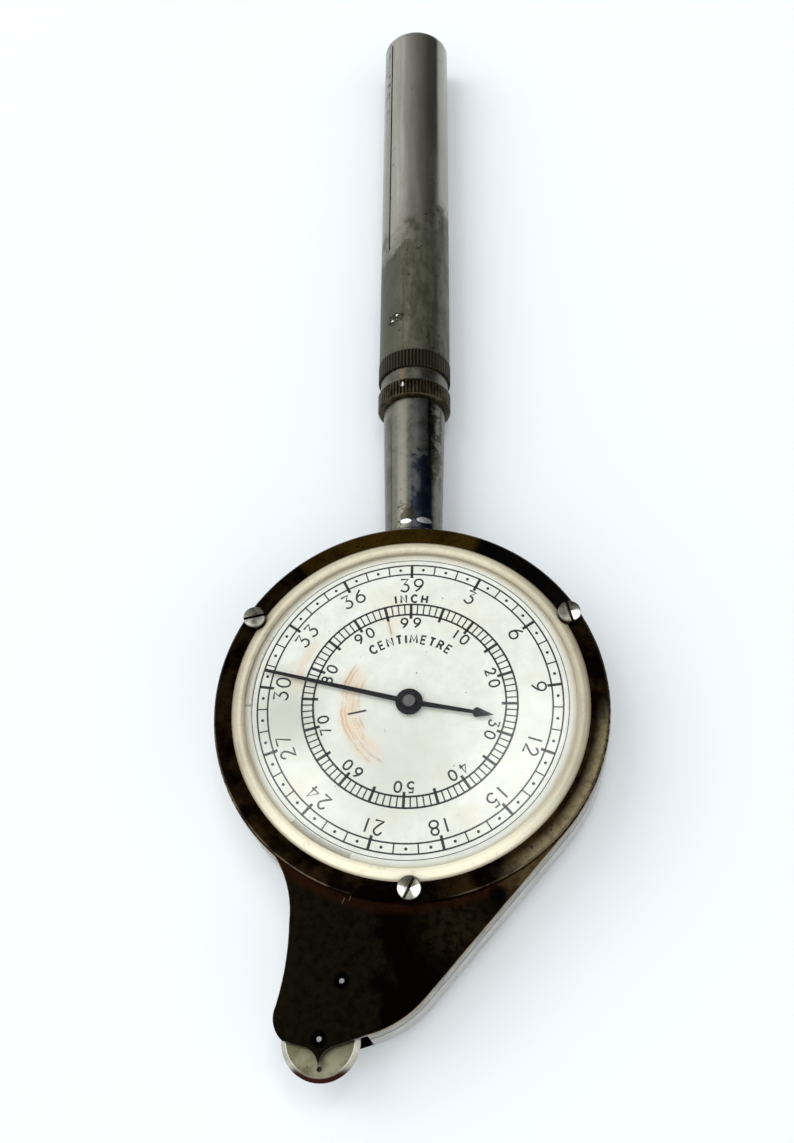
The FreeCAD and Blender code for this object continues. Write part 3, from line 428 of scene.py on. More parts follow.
    def bump(self, height, depth, strength=1.0):
        node = self.new("ShaderNodeBump")
        node.inputs["Distance"].default_value = depth
        node.inputs["Strength"].default_value = strength
        self.link(height, node.inputs["Height"])
        self.link(node.outputs["Normal"], self.shader.inputs["Normal"])


def finish_with(shader, *names):
    """Give CAD nodes or pieces a finish in place of their own material slots."""
    for name in names:
        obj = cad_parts.get(name) or bpy.data.objects[name]
        obj.data.materials.clear()
        obj.data.materials.append(shader.material)


# ---------------------------------------------------------------- finishes




def bezel_patina():
    """Bezel: near-black brown, golden near the stem from wear and a painted sheen, olive along its right edge, and
    a painted highlight with worn places on its outer rim.
    """
    s = Shader("bezel_patina", {"Metallic": 1.0})
    bearing = s.bearing()
    radius = s.distance((0, 0, 0), (1, 1, 0))
    clouds = s.noise(300, detail=7, roughness=0.65)
    grain = s.noise(1500, detail=5, roughness=0.65, offset=(0.1, 0.7, 0))
    colour = s.mix(s.ramp(clouds, 0.40, 0.68), (0.0010, 0.0004, 0.0002), (0.0110, 0.0062, 0.0021))
    # Golden near the stem: worn metal with a painted sheen on it.
    worn_and_sheen = s.calc("MULTIPLY", s.band(bearing, -35, 20, 3), s.ramp(clouds, 0.30, 0.56, 0.45, 1))
    colour = s.mix(worn_and_sheen, colour, (0.036, 0.020, 0.003))
    colour = s.mix(s.calc("MULTIPLY", s.band(bearing, 25, 62, 3), 0.8), colour, (0.0016, 0.0018, 0.0020))
    edge = s.calc("MULTIPLY", s.band(bearing, 104, 140, 16), s.ramp(radius, 17.6 * MM, 18.8 * MM))
    edge = s.calc("MULTIPLY", edge, s.ramp(grain, 0.36, 0.62, 0.35, 1))
    colour = s.mix(edge, colour, (0.105, 0.088, 0.050))
    # Outer rim, lower right and lower left: a painted highlight mixed with worn places.
    turned = s.calc("MODULO", s.calc("ADD", bearing, 360), 360)
    worn_and_sheen = s.calc("MAXIMUM", s.band(turned, 115, 158, 12), s.band(turned, 205, 262, 12))
    rim = s.calc("MULTIPLY", s.ramp(radius, BEZEL_RADIUS - 0.16 * MM, BEZEL_RADIUS - 0.05 * MM),
                 s.ramp(clouds, 0.40, 0.60, 0.1, 1))
    colour = s.mix(s.calc("MULTIPLY", rim, worn_and_sheen), colour, (0.13, 0.10, 0.06))
    s.base(s.mix(s.ramp(grain, 0.60, 0.70), colour, (0.003, 0.002, 0.0015)))
    s.roughness(s.ramp(grain, 0.3, 0.7, 0.20, 0.36))
    s.bump(grain, 0.00002, 0.3)
    return s


# Place of the small blind hole in the front plate, beside the bezel.
PILLAR_MARK = (8.0 * MM, -18.21 * MM)


def case_patina():
    """Front shell: dark clouded face, nickel side, a line of bare brass where they meet, and painted shade in its
    sinks and in the wheel's notch.
    """
    s = Shader("front_shell_patina", {"Metallic": 1.0})
    height = s.axis("Z")
    across = s.axis("X")
    radius = s.distance((0, 0, 0), (1, 1, 0))
    clouds = s.noise(330, detail=7, roughness=0.66)
    grain = s.noise(1300, detail=5, roughness=0.66, offset=(0.3, 0.1, 0))
    ragged = s.ramp(clouds, 0.3, 0.7, -1.3 * MM, 1.3 * MM)
    left = s.ramp(s.calc("ADD", across, ragged), -3.0 * MM, -1.7 * MM, 1, 0)
    hazed = s.calc("MULTIPLY", left, s.ramp(grain, 0.30, 0.66, 0.45, 1))
    face = s.mix(hazed, (0.0010, 0.0005, 0.0003), (0.0042, 0.0034, 0.0018))
    brown = s.calc("MULTIPLY", s.blob((4.2 * MM, -21.0 * MM, PLATE_TOP), 1 * MM, 5 * MM),
                   s.ramp(grain, 0.36, 0.62, 0.2, 1))
    face = s.mix(brown, face, (0.0060, 0.0048, 0.0022))
    under = s.calc("MULTIPLY", s.ramp(radius, 19.4 * MM, 20.3 * MM, 1, 0), s.ramp(clouds, 0.36, 0.6, 0.4, 1))
    face = s.mix(under, face, (0.0095, 0.0030, 0.0014))
    ledge = s.calc("MULTIPLY", s.blob((11.2 * MM, -15.8 * MM, PLATE_TOP), 1.2 * MM, 4.5 * MM),
                   s.ramp(grain, 0.36, 0.62, 0.3, 1))
    face = s.mix(ledge, face, (0.030, 0.022, 0.009))
    for spot in ((-5.9, -18.7, 70), (-5.3, -18.45, 62)):
        mark = s.stroke((spot[0] * MM, spot[1] * MM), spot[2] - 45, 0.22 * MM, 0.03 * MM, 0.04 * MM)
        face = s.mix(s.calc("MULTIPLY", mark, 0.6), face, (0.07, 0.055, 0.04))
    edge = s.band(height, PLATE_TOP - 0.30 * MM, PLATE_TOP - 0.08 * MM, 0.06 * MM)
    from_wheel = s.distance((WHEEL_CENTRE[0], WHEEL_CENTRE[1], 0), (1, 1, 0))
    worn = s.calc("MULTIPLY", edge, s.ramp(clouds, 0.38, 0.60, 0.25, 1))
    worn = s.calc("MULTIPLY", worn, s.ramp(from_wheel, 3.5 * MM, 4.4 * MM))
    places = [PILLAR_MARK]
    for node in ("tracing_arbor", "second_arbor"):
        low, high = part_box(node)
        places.append(((low[0] + high[0]) / 2, (low[1] + high[1]) / 2))
    for x, y in places:
        sink = s.distance((x, y, 0), (1, 1, 0))
        worn = s.calc("MULTIPLY", worn, s.ramp(sink, 0.7 * MM, 0.9 * MM))
        # Painted shade: each sink and the ground round it darkened to near black.
        face = s.mix(s.ramp(sink, 0.55 * MM, 0.95 * MM, 0.9, 0), face, (0.0006, 0.0006, 0.0006))
    face = s.mix(worn, face, (0.30, 0.22, 0.11))
    grime = s.noise(500, detail=5, roughness=0.65)
    nickel = s.mix(s.ramp(grime, 0.35, 0.65), (0.16, 0.145, 0.10), (0.34, 0.32, 0.25))
    seam = s.ramp(height, CASE_SEAM + 0.25 * MM, CASE_SEAM + 0.45 * MM, 0.95, 0)
    under_edge = s.ramp(height, PLATE_TOP - 0.75 * MM, PLATE_TOP - 0.55 * MM, 0, 0.85)
    nickel = s.mix(s.calc("MAXIMUM", seam, under_edge), nickel, (0.035, 0.028, 0.018))
    side = s.ramp(height, PLATE_TOP - 0.42 * MM, PLATE_TOP - 0.34 * MM, 1, 0)
    whole = s.mix(side, face, nickel)
    # Painted shade: the wall of the wheel's notch darkened to near black.
    mouth = s.calc("MULTIPLY", s.ramp(from_wheel, WHEEL_RADIUS + 0.35 * MM, WHEEL_RADIUS + 0.55 * MM, 1, 0),
                   s.ramp(height, PLATE_TOP - 0.3 * MM, PLATE_TOP - 0.1 * MM, 1, 0))
    s.base(s.mix(mouth, whole, (0.004, 0.003, 0.002)))
    s.roughness(s.ramp(grain, 0.3, 0.7, 0.20, 0.34))
    s.bump(grain, 0.00002, 0.3)
    return s


def side_nickel():
    """Rear shell: nickel dulled by handling, with a dark line along the seam, brown at the back and painted shade
    in the wheel's notch.
    """
    s = Shader("rear_shell_nickel", {"Metallic": 1.0})
    height = s.axis("Z")
    grime = s.noise(350, detail=6, roughness=0.65)
    scuff = s.noise(1300, detail=3, stretch=(0.15, 0.15, 1))
    nickel = s.mix(s.ramp(grime, 0.30, 0.72), (0.46, 0.44, 0.38), (0.60, 0.585, 0.54))
    seam = s.ramp(height, CASE_SEAM - 0.28 * MM, CASE_SEAM - 0.12 * MM, 0, 0.9)
    lined = s.mix(seam, nickel, (0.030, 0.024, 0.016))
    low = s.ramp(height, BACK + 0.1 * MM, BACK + 0.9 * MM, 0.55, 0)
    lined = s.mix(low, lined, (0.12, 0.10, 0.07))
    # Painted shade: the wall of the wheel's notch darkened to near black.
    mouth = s.ramp(s.distance((WHEEL_CENTRE[0], WHEEL_CENTRE[1], 0), (1, 1, 0)),
                   WHEEL_RADIUS + 0.35 * MM, WHEEL_RADIUS + 0.55 * MM, 1, 0)
    mouth = s.calc("MULTIPLY", mouth, s.ramp(height, BACK + 0.45 * MM, BACK + 0.55 * MM))
    s.base(s.mix(mouth, lined, (0.006, 0.005, 0.003)))
    s.roughness(s.ramp(scuff, 0.3, 0.7, 0.20, 0.34))
    s.bump(grime, 0.00003, 0.25)
    return s


def screw_steel():
    """Screws: turned steel gone grey, brown specks, painted highlight fans on the heads, and painted shade down
    the sides and in the slots.
    """
    s = Shader("screw_steel", {"Metallic": 1.0})
    cloud = s.noise(900, detail=4, roughness=0.6)
    dirt = s.noise(1700, detail=4, roughness=0.7, offset=(0.3, 0, 0.2))
    steel = s.mix(s.ramp(cloud, 0.35, 0.65), (0.10, 0.097, 0.077), (0.22, 0.215, 0.18))
    steel = s.mix(s.ramp(dirt, 0.58, 0.72, 0, 0.8), steel, (0.05, 0.04, 0.03))
    p = bpy.context.scene.opisometer_pieces
    for bearing, _, *shine in BEZEL_SCREWS:
        x, y = (p.screw_circle * f(math.radians(bearing)) for f in (math.sin, math.cos))
        turn = s.calc("ARCTAN2", s.calc("SUBTRACT", s.axis("X"), x), s.calc("SUBTRACT", s.axis("Y"), y))
        head = s.ramp(s.distance((x, y, 0), (1, 1, 0)), 1.2 * MM, 1.3 * MM, 1, 0)
        # Painted highlight: a bright fan on each head, to the right and to the left.
        for middle, strength in zip((115, 245), shine):
            fan = s.calc("COSINE", s.calc("SUBTRACT", turn, math.radians(middle)))
            painted_highlight = s.calc("MULTIPLY", s.ramp(fan, 0.70, 0.95, 0, strength), head)
            steel = s.mix(painted_highlight, steel, (0.95, 0.94, 0.87))
    height = s.axis("Z")
    top = BEZEL_TOP + p.screw_rise
    # Painted shade: darkens the slots and the sides below the heads' tops.
    painted_slot_shade = s.ramp(height, top - 0.30 * MM, top - 0.12 * MM, 0.95, 0)
    painted_slot_shade = s.calc("MULTIPLY", painted_slot_shade, s.ramp(height, CASE_SEAM, CASE_SEAM + 1 * MM))
    s.base(s.mix(painted_slot_shade, steel, (0.006, 0.005, 0.004)))
    s.roughness(s.ramp(cloud, 0.3, 0.7, 0.16, 0.30))
    return s


def clear_glass():
    """Crystal: a thin clear wall that shows the dial unbent and mirrors more towards a slanting view."""
    s = Shader("crystal_glass")
    smear = s.noise(250, detail=3)
    through = s.new("ShaderNodeBsdfTransparent")
    s.link(s.mix(s.ramp(smear, 0.3, 0.7), (0.985, 0.985, 0.975), (1, 1, 1)), through.inputs["Color"])
    mirror = s.new("ShaderNodeBsdfAnisotropic")
    mirror.inputs["Roughness"].default_value = 0.13
    mirror.inputs["Color"].default_value = (1, 1, 1, 1)
    slant = s.new("ShaderNodeLayerWeight")
    slant.inputs["Blend"].default_value = 0.5
    share = s.ramp_line(s.calc("POWER", slant.outputs["Facing"], 4.0), 0, 1, 0.011, 0.30)
    both = s.new("ShaderNodeMixShader")
    s.link(share, both.inputs[0])
    s.link(through.outputs[0], both.inputs[1])
    s.link(mirror.outputs[0], both.inputs[2])
    s.link(both.outputs[0], s.tree.nodes["Material Output"].inputs["Surface"])
    s.tree.nodes.remove(s.shader)
    return s


def old_ivory():
    """Ring of yellowed celluloid: cream with brown streaks, a painted highlight on its crest, painted light
    towards its top and bottom, and painted shade on its right and at its edges.
    """
    s = Shader("surround_ivory", {"Roughness": 0.30, "Specular IOR Level": 0.45})
    radius = s.distance((0, 0, 0), (1, 1, 0))
    age = s.noise(420, detail=6, roughness=0.66)
    streak = s.noise(900, detail=4, roughness=0.6, offset=(0.6, 0.2, 0))
    cream = s.mix(s.ramp(age, 0.32, 0.68), (0.34, 0.295, 0.20), (0.44, 0.395, 0.285))
    # Painted highlight along the crest of the ring.
    crest = s.calc("MULTIPLY", s.band(radius, 16.42 * MM, 16.52 * MM, 0.24 * MM),
                   s.ramp(streak, 0.3, 0.6, 0.4, 0.8))
    pale = s.mix(crest, cream, (0.66, 0.60, 0.43))
    # Painted light: paler towards the bottom and the top of the ring; painted shade: darker on its right.
    foot = s.ramp(s.axis("Y"), -4 * MM, -15 * MM, 0, 0.85)
    pale = s.mix(foot, pale, (0.90, 0.84, 0.64))
    head = s.ramp(s.axis("Y"), 8 * MM, 15 * MM, 0, 0.4)
    pale = s.mix(head, pale, (0.72, 0.67, 0.50))
    right = s.ramp(s.axis("X"), 6 * MM, 15 * MM, 0, 0.4)
    pale = s.mix(right, pale, (0.30, 0.26, 0.18))
    # Painted shade at the outer edge, against the bezel.
    shaded = s.ramp(radius, 16.92 * MM, 17.24 * MM, 0, 0.8)
    pale = s.mix(shaded, pale, (0.19, 0.14, 0.08))
    pale = s.mix(s.ramp(streak, 0.55, 0.75, 0, 0.35), pale, (0.30, 0.24, 0.15))
    # Painted shade along the inner edge, on the upper part of the ring.
    upper = s.calc("MULTIPLY", s.band(s.bearing(), -40, 70, 20), s.ramp(radius, 16.04 * MM, 16.18 * MM, 0.6, 0))
    s.base(s.mix(upper, pale, (0.30, 0.24, 0.15)))
    s.bump(age, 0.00003, 0.3)
    return s


# Rusty arcs left on the dial about a point a little right of its axis: radius and half width in
# millimetres, first and last bearing in degrees, strength.
SWEPT_ARCS = ((7.05, 0.06, 222, 300, 0.5), (6.7, 0.04, 238, 300, 0.4), (6.45, 0.05, 214, 238, 0.6),
              (6.0, 0.04, 232, 285, 0.3), (5.45, 0.04, 246, 298, 0.4), (5.75, 0.03, 240, 262, 0.35),
              (9.75, 0.05, 262, 284, 0.3))


def dial_paper():
    """Dial: off-white enamel gone blotchy, with rusty arcs, a scratch, stains, specks and a cream margin."""
    s = Shader("dial_enamel", {"Roughness": 0.5, "Specular IOR Level": 0.3})
    mottle = s.noise(800, detail=6, roughness=0.68)
    blotch = s.noise(150, detail=4, roughness=0.6, offset=(0.2, 0.5, 0))
    radius = s.distance((0, 0, 0), (1, 1, 0))
    ground = s.mix(s.ramp(mottle, 0.33, 0.67), (0.70, 0.71, 0.64), (0.78, 0.79, 0.73))
    ground = s.mix(s.ramp(blotch, 0.50, 0.72, 0, 0.5), ground, (0.72, 0.68, 0.55))
    ground = s.mix(s.blob((-12.2 * MM, -1.5 * MM, DIAL_TOP), 1 * MM, 6 * MM), ground, (0.54, 0.55, 0.48))
    low = s.blob((-1.5 * MM, -6 * MM, DIAL_TOP), 1 * MM, 9 * MM)
    ground = s.mix(s.calc("MULTIPLY", low, 0.7), ground, (0.60, 0.61, 0.55))
    swept = s.distance((0.5 * MM, 0, 0), (1, 1, 0))
    turned = s.calc("MODULO", s.calc("ADD", s.bearing(0.5 * MM), 360), 360)
    smudge = s.noise(420, detail=6, roughness=0.7, offset=(0.15, 0, 0))
    haze = s.calc("MULTIPLY", s.band(turned, 230, 288, 26), s.band(swept, 5.8 * MM, 6.9 * MM, 0.9 * MM))
    haze = s.calc("MULTIPLY", haze, s.ramp(smudge, 0.34, 0.66, 0.15, 0.9))
    ground = s.mix(haze, ground, (0.74, 0.58, 0.41))
    waver = s.calc("ADD", swept, s.ramp(blotch, 0.3, 0.7, -0.2 * MM, 0.2 * MM))
    for middle, wide, first, last, strong in SWEPT_ARCS:
        arc = s.band(waver, (middle - wide) * MM, (middle + wide) * MM, 0.10 * MM)
        arc = s.calc("MULTIPLY", arc, s.band(turned, first, last, 10))
        arc = s.calc("MULTIPLY", arc, s.ramp(smudge, 0.38, 0.62, 0.1 * strong, 0.95 * strong))
        ground = s.mix(arc, ground, (0.42, 0.23, 0.12))
    far = s.calc("MULTIPLY", s.band(turned, 284, 300, 9), s.band(swept, 11.6 * MM, 12.0 * MM, 0.5 * MM))
    ground = s.mix(s.calc("MULTIPLY", far, 0.3), ground, (0.70, 0.48, 0.30))
    halo = s.stroke((-2.0 * MM, 8.3 * MM), -13, 0.9 * MM, 0.15 * MM, 0.35 * MM)
    ground = s.mix(s.calc("MULTIPLY", halo, 0.25), ground, (0.70, 0.55, 0.38))
    drip = s.stroke((-2.05 * MM, 8.3 * MM), -13, 0.9 * MM, 0.05 * MM, 0.08 * MM)
    ground = s.mix(s.calc("MULTIPLY", drip, 0.6), ground, (0.32, 0.18, 0.09))
    scratch = s.stroke((-5.07 * MM, -0.75 * MM), 79, 0.80 * MM, 0.06 * MM, 0.08 * MM)
    ground = s.mix(scratch, ground, (0.03, 0.012, 0.006))
    specks = s.noise(2300, detail=2, offset=(0.9, 0.4, 0))
    inside = s.ramp(radius, 14.9 * MM, 15.1 * MM, 0.8, 0)
    ground = s.mix(s.calc("MULTIPLY", s.ramp(specks, 0.74, 0.76), inside), ground, (0.06, 0.045, 0.03))
    margin = s.ramp(s.calc("ADD", radius, s.ramp(mottle, 0.3, 0.7, -0.08 * MM, 0.08 * MM)), 15.42 * MM, 15.95 * MM)
    s.base(s.mix(margin, ground, (0.62, 0.57, 0.45)))
    return s


def needle_black():
    """Needle and collet: blued steel, nearly black, with the grey end of the arbor's seat."""
    s = Shader("needle_blueing", {"Metallic": 0.85})
    cloud = s.noise(900, detail=3)
    dark = s.mix(s.ramp(cloud, 0.35, 0.65), (0.004, 0.004, 0.006), (0.012, 0.011, 0.015))
    seat = s.ramp(s.distance((0, 0, 0), (1, 1, 0)), 0.56 * MM, 0.62 * MM, 1, 0)
    s.base(s.mix(seat, dark, (0.10, 0.095, 0.095)))
    s.roughness(s.ramp(cloud, 0.3, 0.7, 0.34, 0.46))
    return s


def tube_nickel():
    """Handle: worn nickel above and olive pitted patina below, both with painted shade bands down them, with a
    chipped spot, a crack and a dull knurl.
    """
    s = Shader("handle_nickel", {"Metallic": 1.0})
    along = s.axis("Y")
    across = s.axis("X")
    fine = s.noise(1500, detail=3, stretch=(1, 0.06, 1))
    cloud = s.noise(240, detail=5, roughness=0.6, stretch=(1, 0.5, 1))
    worn = s.mix(s.ramp(fine, 0.3, 0.7), (0.35, 0.335, 0.285), (0.42, 0.405, 0.355))
    # Painted shade: darker bands down the middle and along both sides of the tube, set by how far across it a
    # point lies.
    edged = s.calc("ADD", across, s.ramp(cloud, 0.3, 0.7, -0.12 * MM, 0.12 * MM))
    worn = s.mix(s.ramp(edged, -1.35 * MM, -0.95 * MM, 0, 0.40), worn, (0.22, 0.205, 0.175))
    worn = s.mix(s.ramp(edged, -2.95 * MM, -2.65 * MM, 0.75, 0), worn, (0.19, 0.19, 0.15))
    worn = s.mix(s.ramp(edged, 2.6 * MM, 2.9 * MM, 0, 0.5), worn, (0.24, 0.24, 0.20))
    worn = s.mix(s.ramp(cloud, 0.50, 0.75, 0, 0.4), worn, (0.23, 0.18, 0.135))
    pits = s.noise(850, detail=5, roughness=0.72, offset=(0.3, 0.9, 0))
    worn = s.mix(s.ramp(pits, 0.65, 0.71), worn, (0.07, 0.055, 0.04))
    notched = s.calc("MULTIPLY", s.band(across, -3.8 * MM, -3.05 * MM, 0.1 * MM), s.ramp(along, 76 * MM, 79 * MM))
    notched = s.calc("MULTIPLY", notched, s.ramp(s.axis("Z"), HANDLE_AXIS + 0.6 * MM, HANDLE_AXIS + 1.0 * MM))
    worn = s.mix(s.calc("MULTIPLY", notched, s.ramp(s.noise(1500, stretch=(0.5, 1.3, 0.5)), 0.54, 0.60)),
                 worn, (0.03, 0.03, 0.024))
    mottle = s.noise(620, detail=6, roughness=0.68, stretch=(1, 0.55, 1))
    streak = s.noise(560, detail=4, roughness=0.6, stretch=(1, 0.10, 1), offset=(0.4, 0, 0))
    olive = s.mix(s.ramp(mottle, 0.35, 0.65), (0.078, 0.079, 0.050), (0.145, 0.146, 0.108))
    # Painted shade: the olive darker on the tube's left side.
    olive = s.mix(s.ramp(across, -1.0 * MM, -1.6 * MM, 0, 0.75), olive, (0.088, 0.088, 0.066))
    olive = s.mix(s.ramp(streak, 0.48, 0.66, 0, 0.6), olive, (0.050, 0.050, 0.026))
    olive = s.mix(s.ramp(pits, 0.60, 0.68), olive, (0.026, 0.024, 0.012))
    ragged = s.noise(330, detail=5, roughness=0.65)
    level = s.calc("SUBTRACT", s.calc("MULTIPLY", across, 0.75), along)
    level = s.calc("ADD", level, s.ramp(ragged, 0.2, 0.8, -3.5 * MM, 3.5 * MM))
    low = s.ramp(level, -62.3 * MM, -57.0 * MM)
    metal = s.mix(low, worn, olive)
    chip_shape = s.ramp(s.noise(1500, detail=3), 0.35, 0.65, -0.30 * MM, 0.30 * MM)
    bright_fleck = s.calc("ADD", s.distance((-1.80 * MM, 46.0 * MM, 7 * MM), (0.8, 1, 0)), chip_shape)
    metal = s.mix(s.ramp(bright_fleck, 0.45 * MM, 0.75 * MM, 0.8, 0), metal, (0.015, 0.013, 0.009))
    metal = s.mix(s.ramp(bright_fleck, 0.20 * MM, 0.32 * MM, 1, 0), metal, (0.80, 0.78, 0.72))
    trace = s.stroke((-1.0 * MM, 47.0 * MM), 0.5, 5.5 * MM, 0.05 * MM, 0.18 * MM)
    front = s.ramp(s.axis("Z"), HANDLE_AXIS, HANDLE_AXIS + 1 * MM)
    metal = s.mix(s.calc("MULTIPLY", trace, s.calc("MULTIPLY", front, 0.45)), metal, (0.055, 0.055, 0.022))
    knurl = s.ramp(along, TUBE_LOW[1] + 2.05 * MM, TUBE_LOW[1] + 2.35 * MM, 0.9, 0)
    metal = s.mix(knurl, metal, (0.030, 0.026, 0.014))
    s.base(metal)
    smooth = s.ramp(along, 62 * MM, 82 * MM, 0.24, 0.15)
    rough = s.calc("ADD", s.calc("MULTIPLY", smooth, s.ramp(low, 0, 1, 1, 0)), s.ramp(low, 0, 1, 0, 0.46))
    s.roughness(s.calc("ADD", rough, s.ramp(fine, 0.3, 0.7, 0, 0.06)))
    s.bump(s.calc("MULTIPLY", s.ramp(pits, 0.45, 0.7, 1, 0), s.ramp(low, 0, 1, 0.05, 1)), 0.00004, 0.22)
    return s


def collar_nickel():
    """Collar: a bright neck between two dark rusty bands, with a painted highlight strip on the neck and a painted
    white glint left of its middle.
    """
    s = Shader("collar_nickel", {"Metallic": 1.0})
    along = s.axis("Y")
    mottle = s.noise(700, detail=6, roughness=0.68)
    rust = s.mix(s.ramp(mottle, 0.40, 0.66), (0.026, 0.020, 0.010), (0.075, 0.062, 0.038))
    neck = s.mix(s.ramp(mottle, 0.3, 0.7), (0.085, 0.082, 0.064), (0.16, 0.155, 0.13))
    # Painted highlight: a warm strip down the neck.
    warm = s.band(s.axis("X"), -1.2 * MM, -0.85 * MM, 0.15 * MM)
    neck = s.mix(s.calc("MULTIPLY", warm, 0.7), neck, (0.17, 0.12, 0.055))
    bright = s.band(along, 37.75 * MM, 39.2 * MM, 0.12 * MM)
    # Painted glint: a small white spot on the collar.
    bright_fleck = s.blob((-1.0 * MM, 36.9 * MM, 7.3 * MM), 0.12 * MM, 0.36 * MM)
    s.base(s.mix(bright_fleck, s.mix(bright, rust, neck), (0.75, 0.73, 0.68)))
    s.roughness(s.ramp(mottle, 0.3, 0.7, 0.26, 0.42))
    s.bump(mottle, 0.00003, 0.3)
    return s


def stem_nickel():
    """Stem: nickel with a fine seam, brown pits, a blue-black tarnished stripe, a rusty patch, painted highlight
    and shade bands down it and painted glints at its root.
    """
    s = Shader("stem_nickel", {"Metallic": 1.0})
    along = s.axis("Y")
    across = s.axis("X")
    cloud = s.noise(520, detail=6, roughness=0.66)
    nickel = s.mix(s.ramp(cloud, 0.34, 0.66), (0.085, 0.082, 0.062), (0.165, 0.16, 0.13))
    # Painted highlight: a lighter band down the stem's left.
    painted_highlight = s.band(across, -1.9 * MM, -0.7 * MM, 0.5 * MM)
    nickel = s.mix(s.calc("MULTIPLY", painted_highlight, 0.6), nickel, (0.22, 0.21, 0.17))
    pits = s.noise(1000, detail=5, roughness=0.70, offset=(0.2, 0.35, 0))
    nickel = s.mix(s.ramp(pits, 0.63, 0.70), nickel, (0.08, 0.068, 0.045))
    # Painted shade: a grey band and a near-black line down the stem's right.
    dull = s.band(across, 0.1 * MM, 1.85 * MM, 0.35 * MM)
    nickel = s.mix(s.calc("MULTIPLY", dull, 0.7), nickel, (0.12, 0.125, 0.125))
    black = s.band(across, 1.75 * MM, 1.98 * MM, 0.12 * MM)
    nickel = s.mix(s.calc("MULTIPLY", black, 0.9), nickel, (0.012, 0.012, 0.013))
    start = s.ramp(s.calc("ADD", along, s.ramp(cloud, 0.3, 0.7, -1.4 * MM, 1.4 * MM)), 28.0 * MM, 28.8 * MM, 1, 0)
    blue = s.calc("MULTIPLY", s.band(across, 0.1 * MM, 1.9 * MM, 0.3 * MM), start)
    depth = s.calc("MAXIMUM", s.ramp(across, 0.7 * MM, 1.1 * MM, 0, 0.96), s.ramp(cloud, 0.40, 0.60, 0.9, 0.35))
    nickel = s.mix(s.calc("MULTIPLY", blue, depth), nickel, (0.018, 0.026, 0.052))
    patch = s.calc("ADD", s.distance((2.45 * MM, 27.6 * MM, 5 * MM), (1.6, 0.5, 0)),
                   s.ramp(pits, 0.3, 0.7, -0.8 * MM, 0.8 * MM))
    nickel = s.mix(s.ramp(patch, 0.6 * MM, 1.1 * MM, 0.9, 0), nickel, (0.050, 0.042, 0.024))
    flakes = s.calc("MULTIPLY", s.band(across, 2.0 * MM, 3.0 * MM, 0.2 * MM),
                    s.band(along, 28.5 * MM, 34.5 * MM, 0.5 * MM))
    flakes = s.calc("MULTIPLY", flakes, s.ramp(s.noise(900, detail=5, roughness=0.7), 0.46, 0.52))
    nickel = s.mix(flakes, nickel, (0.030, 0.026, 0.018))
    stain = s.calc("ADD", s.distance((-0.55 * MM, 21.3 * MM, 7 * MM), (0.9, 0.7, 0)),
                   s.ramp(pits, 0.3, 0.7, -0.9 * MM, 0.9 * MM))
    nickel = s.mix(s.ramp(stain, 0.4 * MM, 0.9 * MM, 0.8, 0), nickel, (0.045, 0.040, 0.024))
    # Painted glints: two small white spots at the stem's root.
    for x, y, wide in ((-0.57, 20.45, 0.45), (1.31, 20.60, 0.6)):
        glint = s.distance((x * MM, y * MM, 0), (0.45, 1, 0))
        nickel = s.mix(s.ramp(glint, 0.5 * wide * MM, 0.62 * wide * MM, 1, 0), nickel, (1.0, 1.0, 0.97))
    seam = s.stroke((-2.22 * MM, 26 * MM), -0.9, 6.6 * MM, 0.012 * MM, 0.04 * MM)
    front = s.ramp(s.axis("Z"), HANDLE_AXIS, HANDLE_AXIS + 1 * MM)
    s.base(s.mix(s.calc("MULTIPLY", seam, front), nickel, (0.010, 0.008, 0.006)))
    s.roughness(s.ramp(cloud, 0.35, 0.65, 0.22, 0.34))
    s.bump(s.ramp(pits, 0.55, 0.70, 1, 0), 0.00003, 0.12)
    return s


def wheel_nickel():
    """Tracing wheel: dull yellowish face with a dark dot of painted shade in its mark hole, bright bevel, rust low
    on its rim.
    """
    s = Shader("wheel_nickel", {"Metallic": 1.0})
    x, y, z = WHEEL_CENTRE
    radius = s.distance((x, y, 0), (1, 1, 0))
    cloud = s.noise(520, detail=6, roughness=0.65)
    face = s.mix(s.ramp(cloud, 0.36, 0.64), (0.085, 0.080, 0.042), (0.19, 0.18, 0.125))
    face = s.mix(s.ramp(s.axis("Y"), y - 2.3 * MM, y - 0.4 * MM, 0, 0.65), face, (0.062, 0.058, 0.026))
    # Painted shade: the small mark hole darkened to near black.
    mark = s.distance((x, y - 2.4 * MM, 0), (1, 1, 0))
    face = s.mix(s.ramp(mark, 0.20 * MM, 0.27 * MM, 0.95, 0), face, (0.010, 0.009, 0.004))
    bevel = s.mix(s.ramp(cloud, 0.3, 0.7), (0.36, 0.345, 0.27), (0.56, 0.545, 0.47))
    dark = s.ramp(s.axis("Y"), y - 2.7 * MM, y - 1.9 * MM, 0.75, 0)
    bevel = s.mix(dark, bevel, (0.07, 0.06, 0.045))
    low = s.calc("MULTIPLY", s.ramp(s.axis("Y"), y - 2.8 * MM, y - 2.2 * MM, 1, 0),
                 s.ramp(radius, WHEEL_RADIUS - 0.38 * MM, WHEEL_RADIUS - 0.28 * MM))
    rusty = s.mix(low, bevel, (0.030, 0.008, 0.005))
    s.base(s.mix(s.ramp(radius, 2.98 * MM, 3.06 * MM), face, rusty))
    s.roughness(s.ramp(cloud, 0.3, 0.7, 0.24, 0.36))
    return s


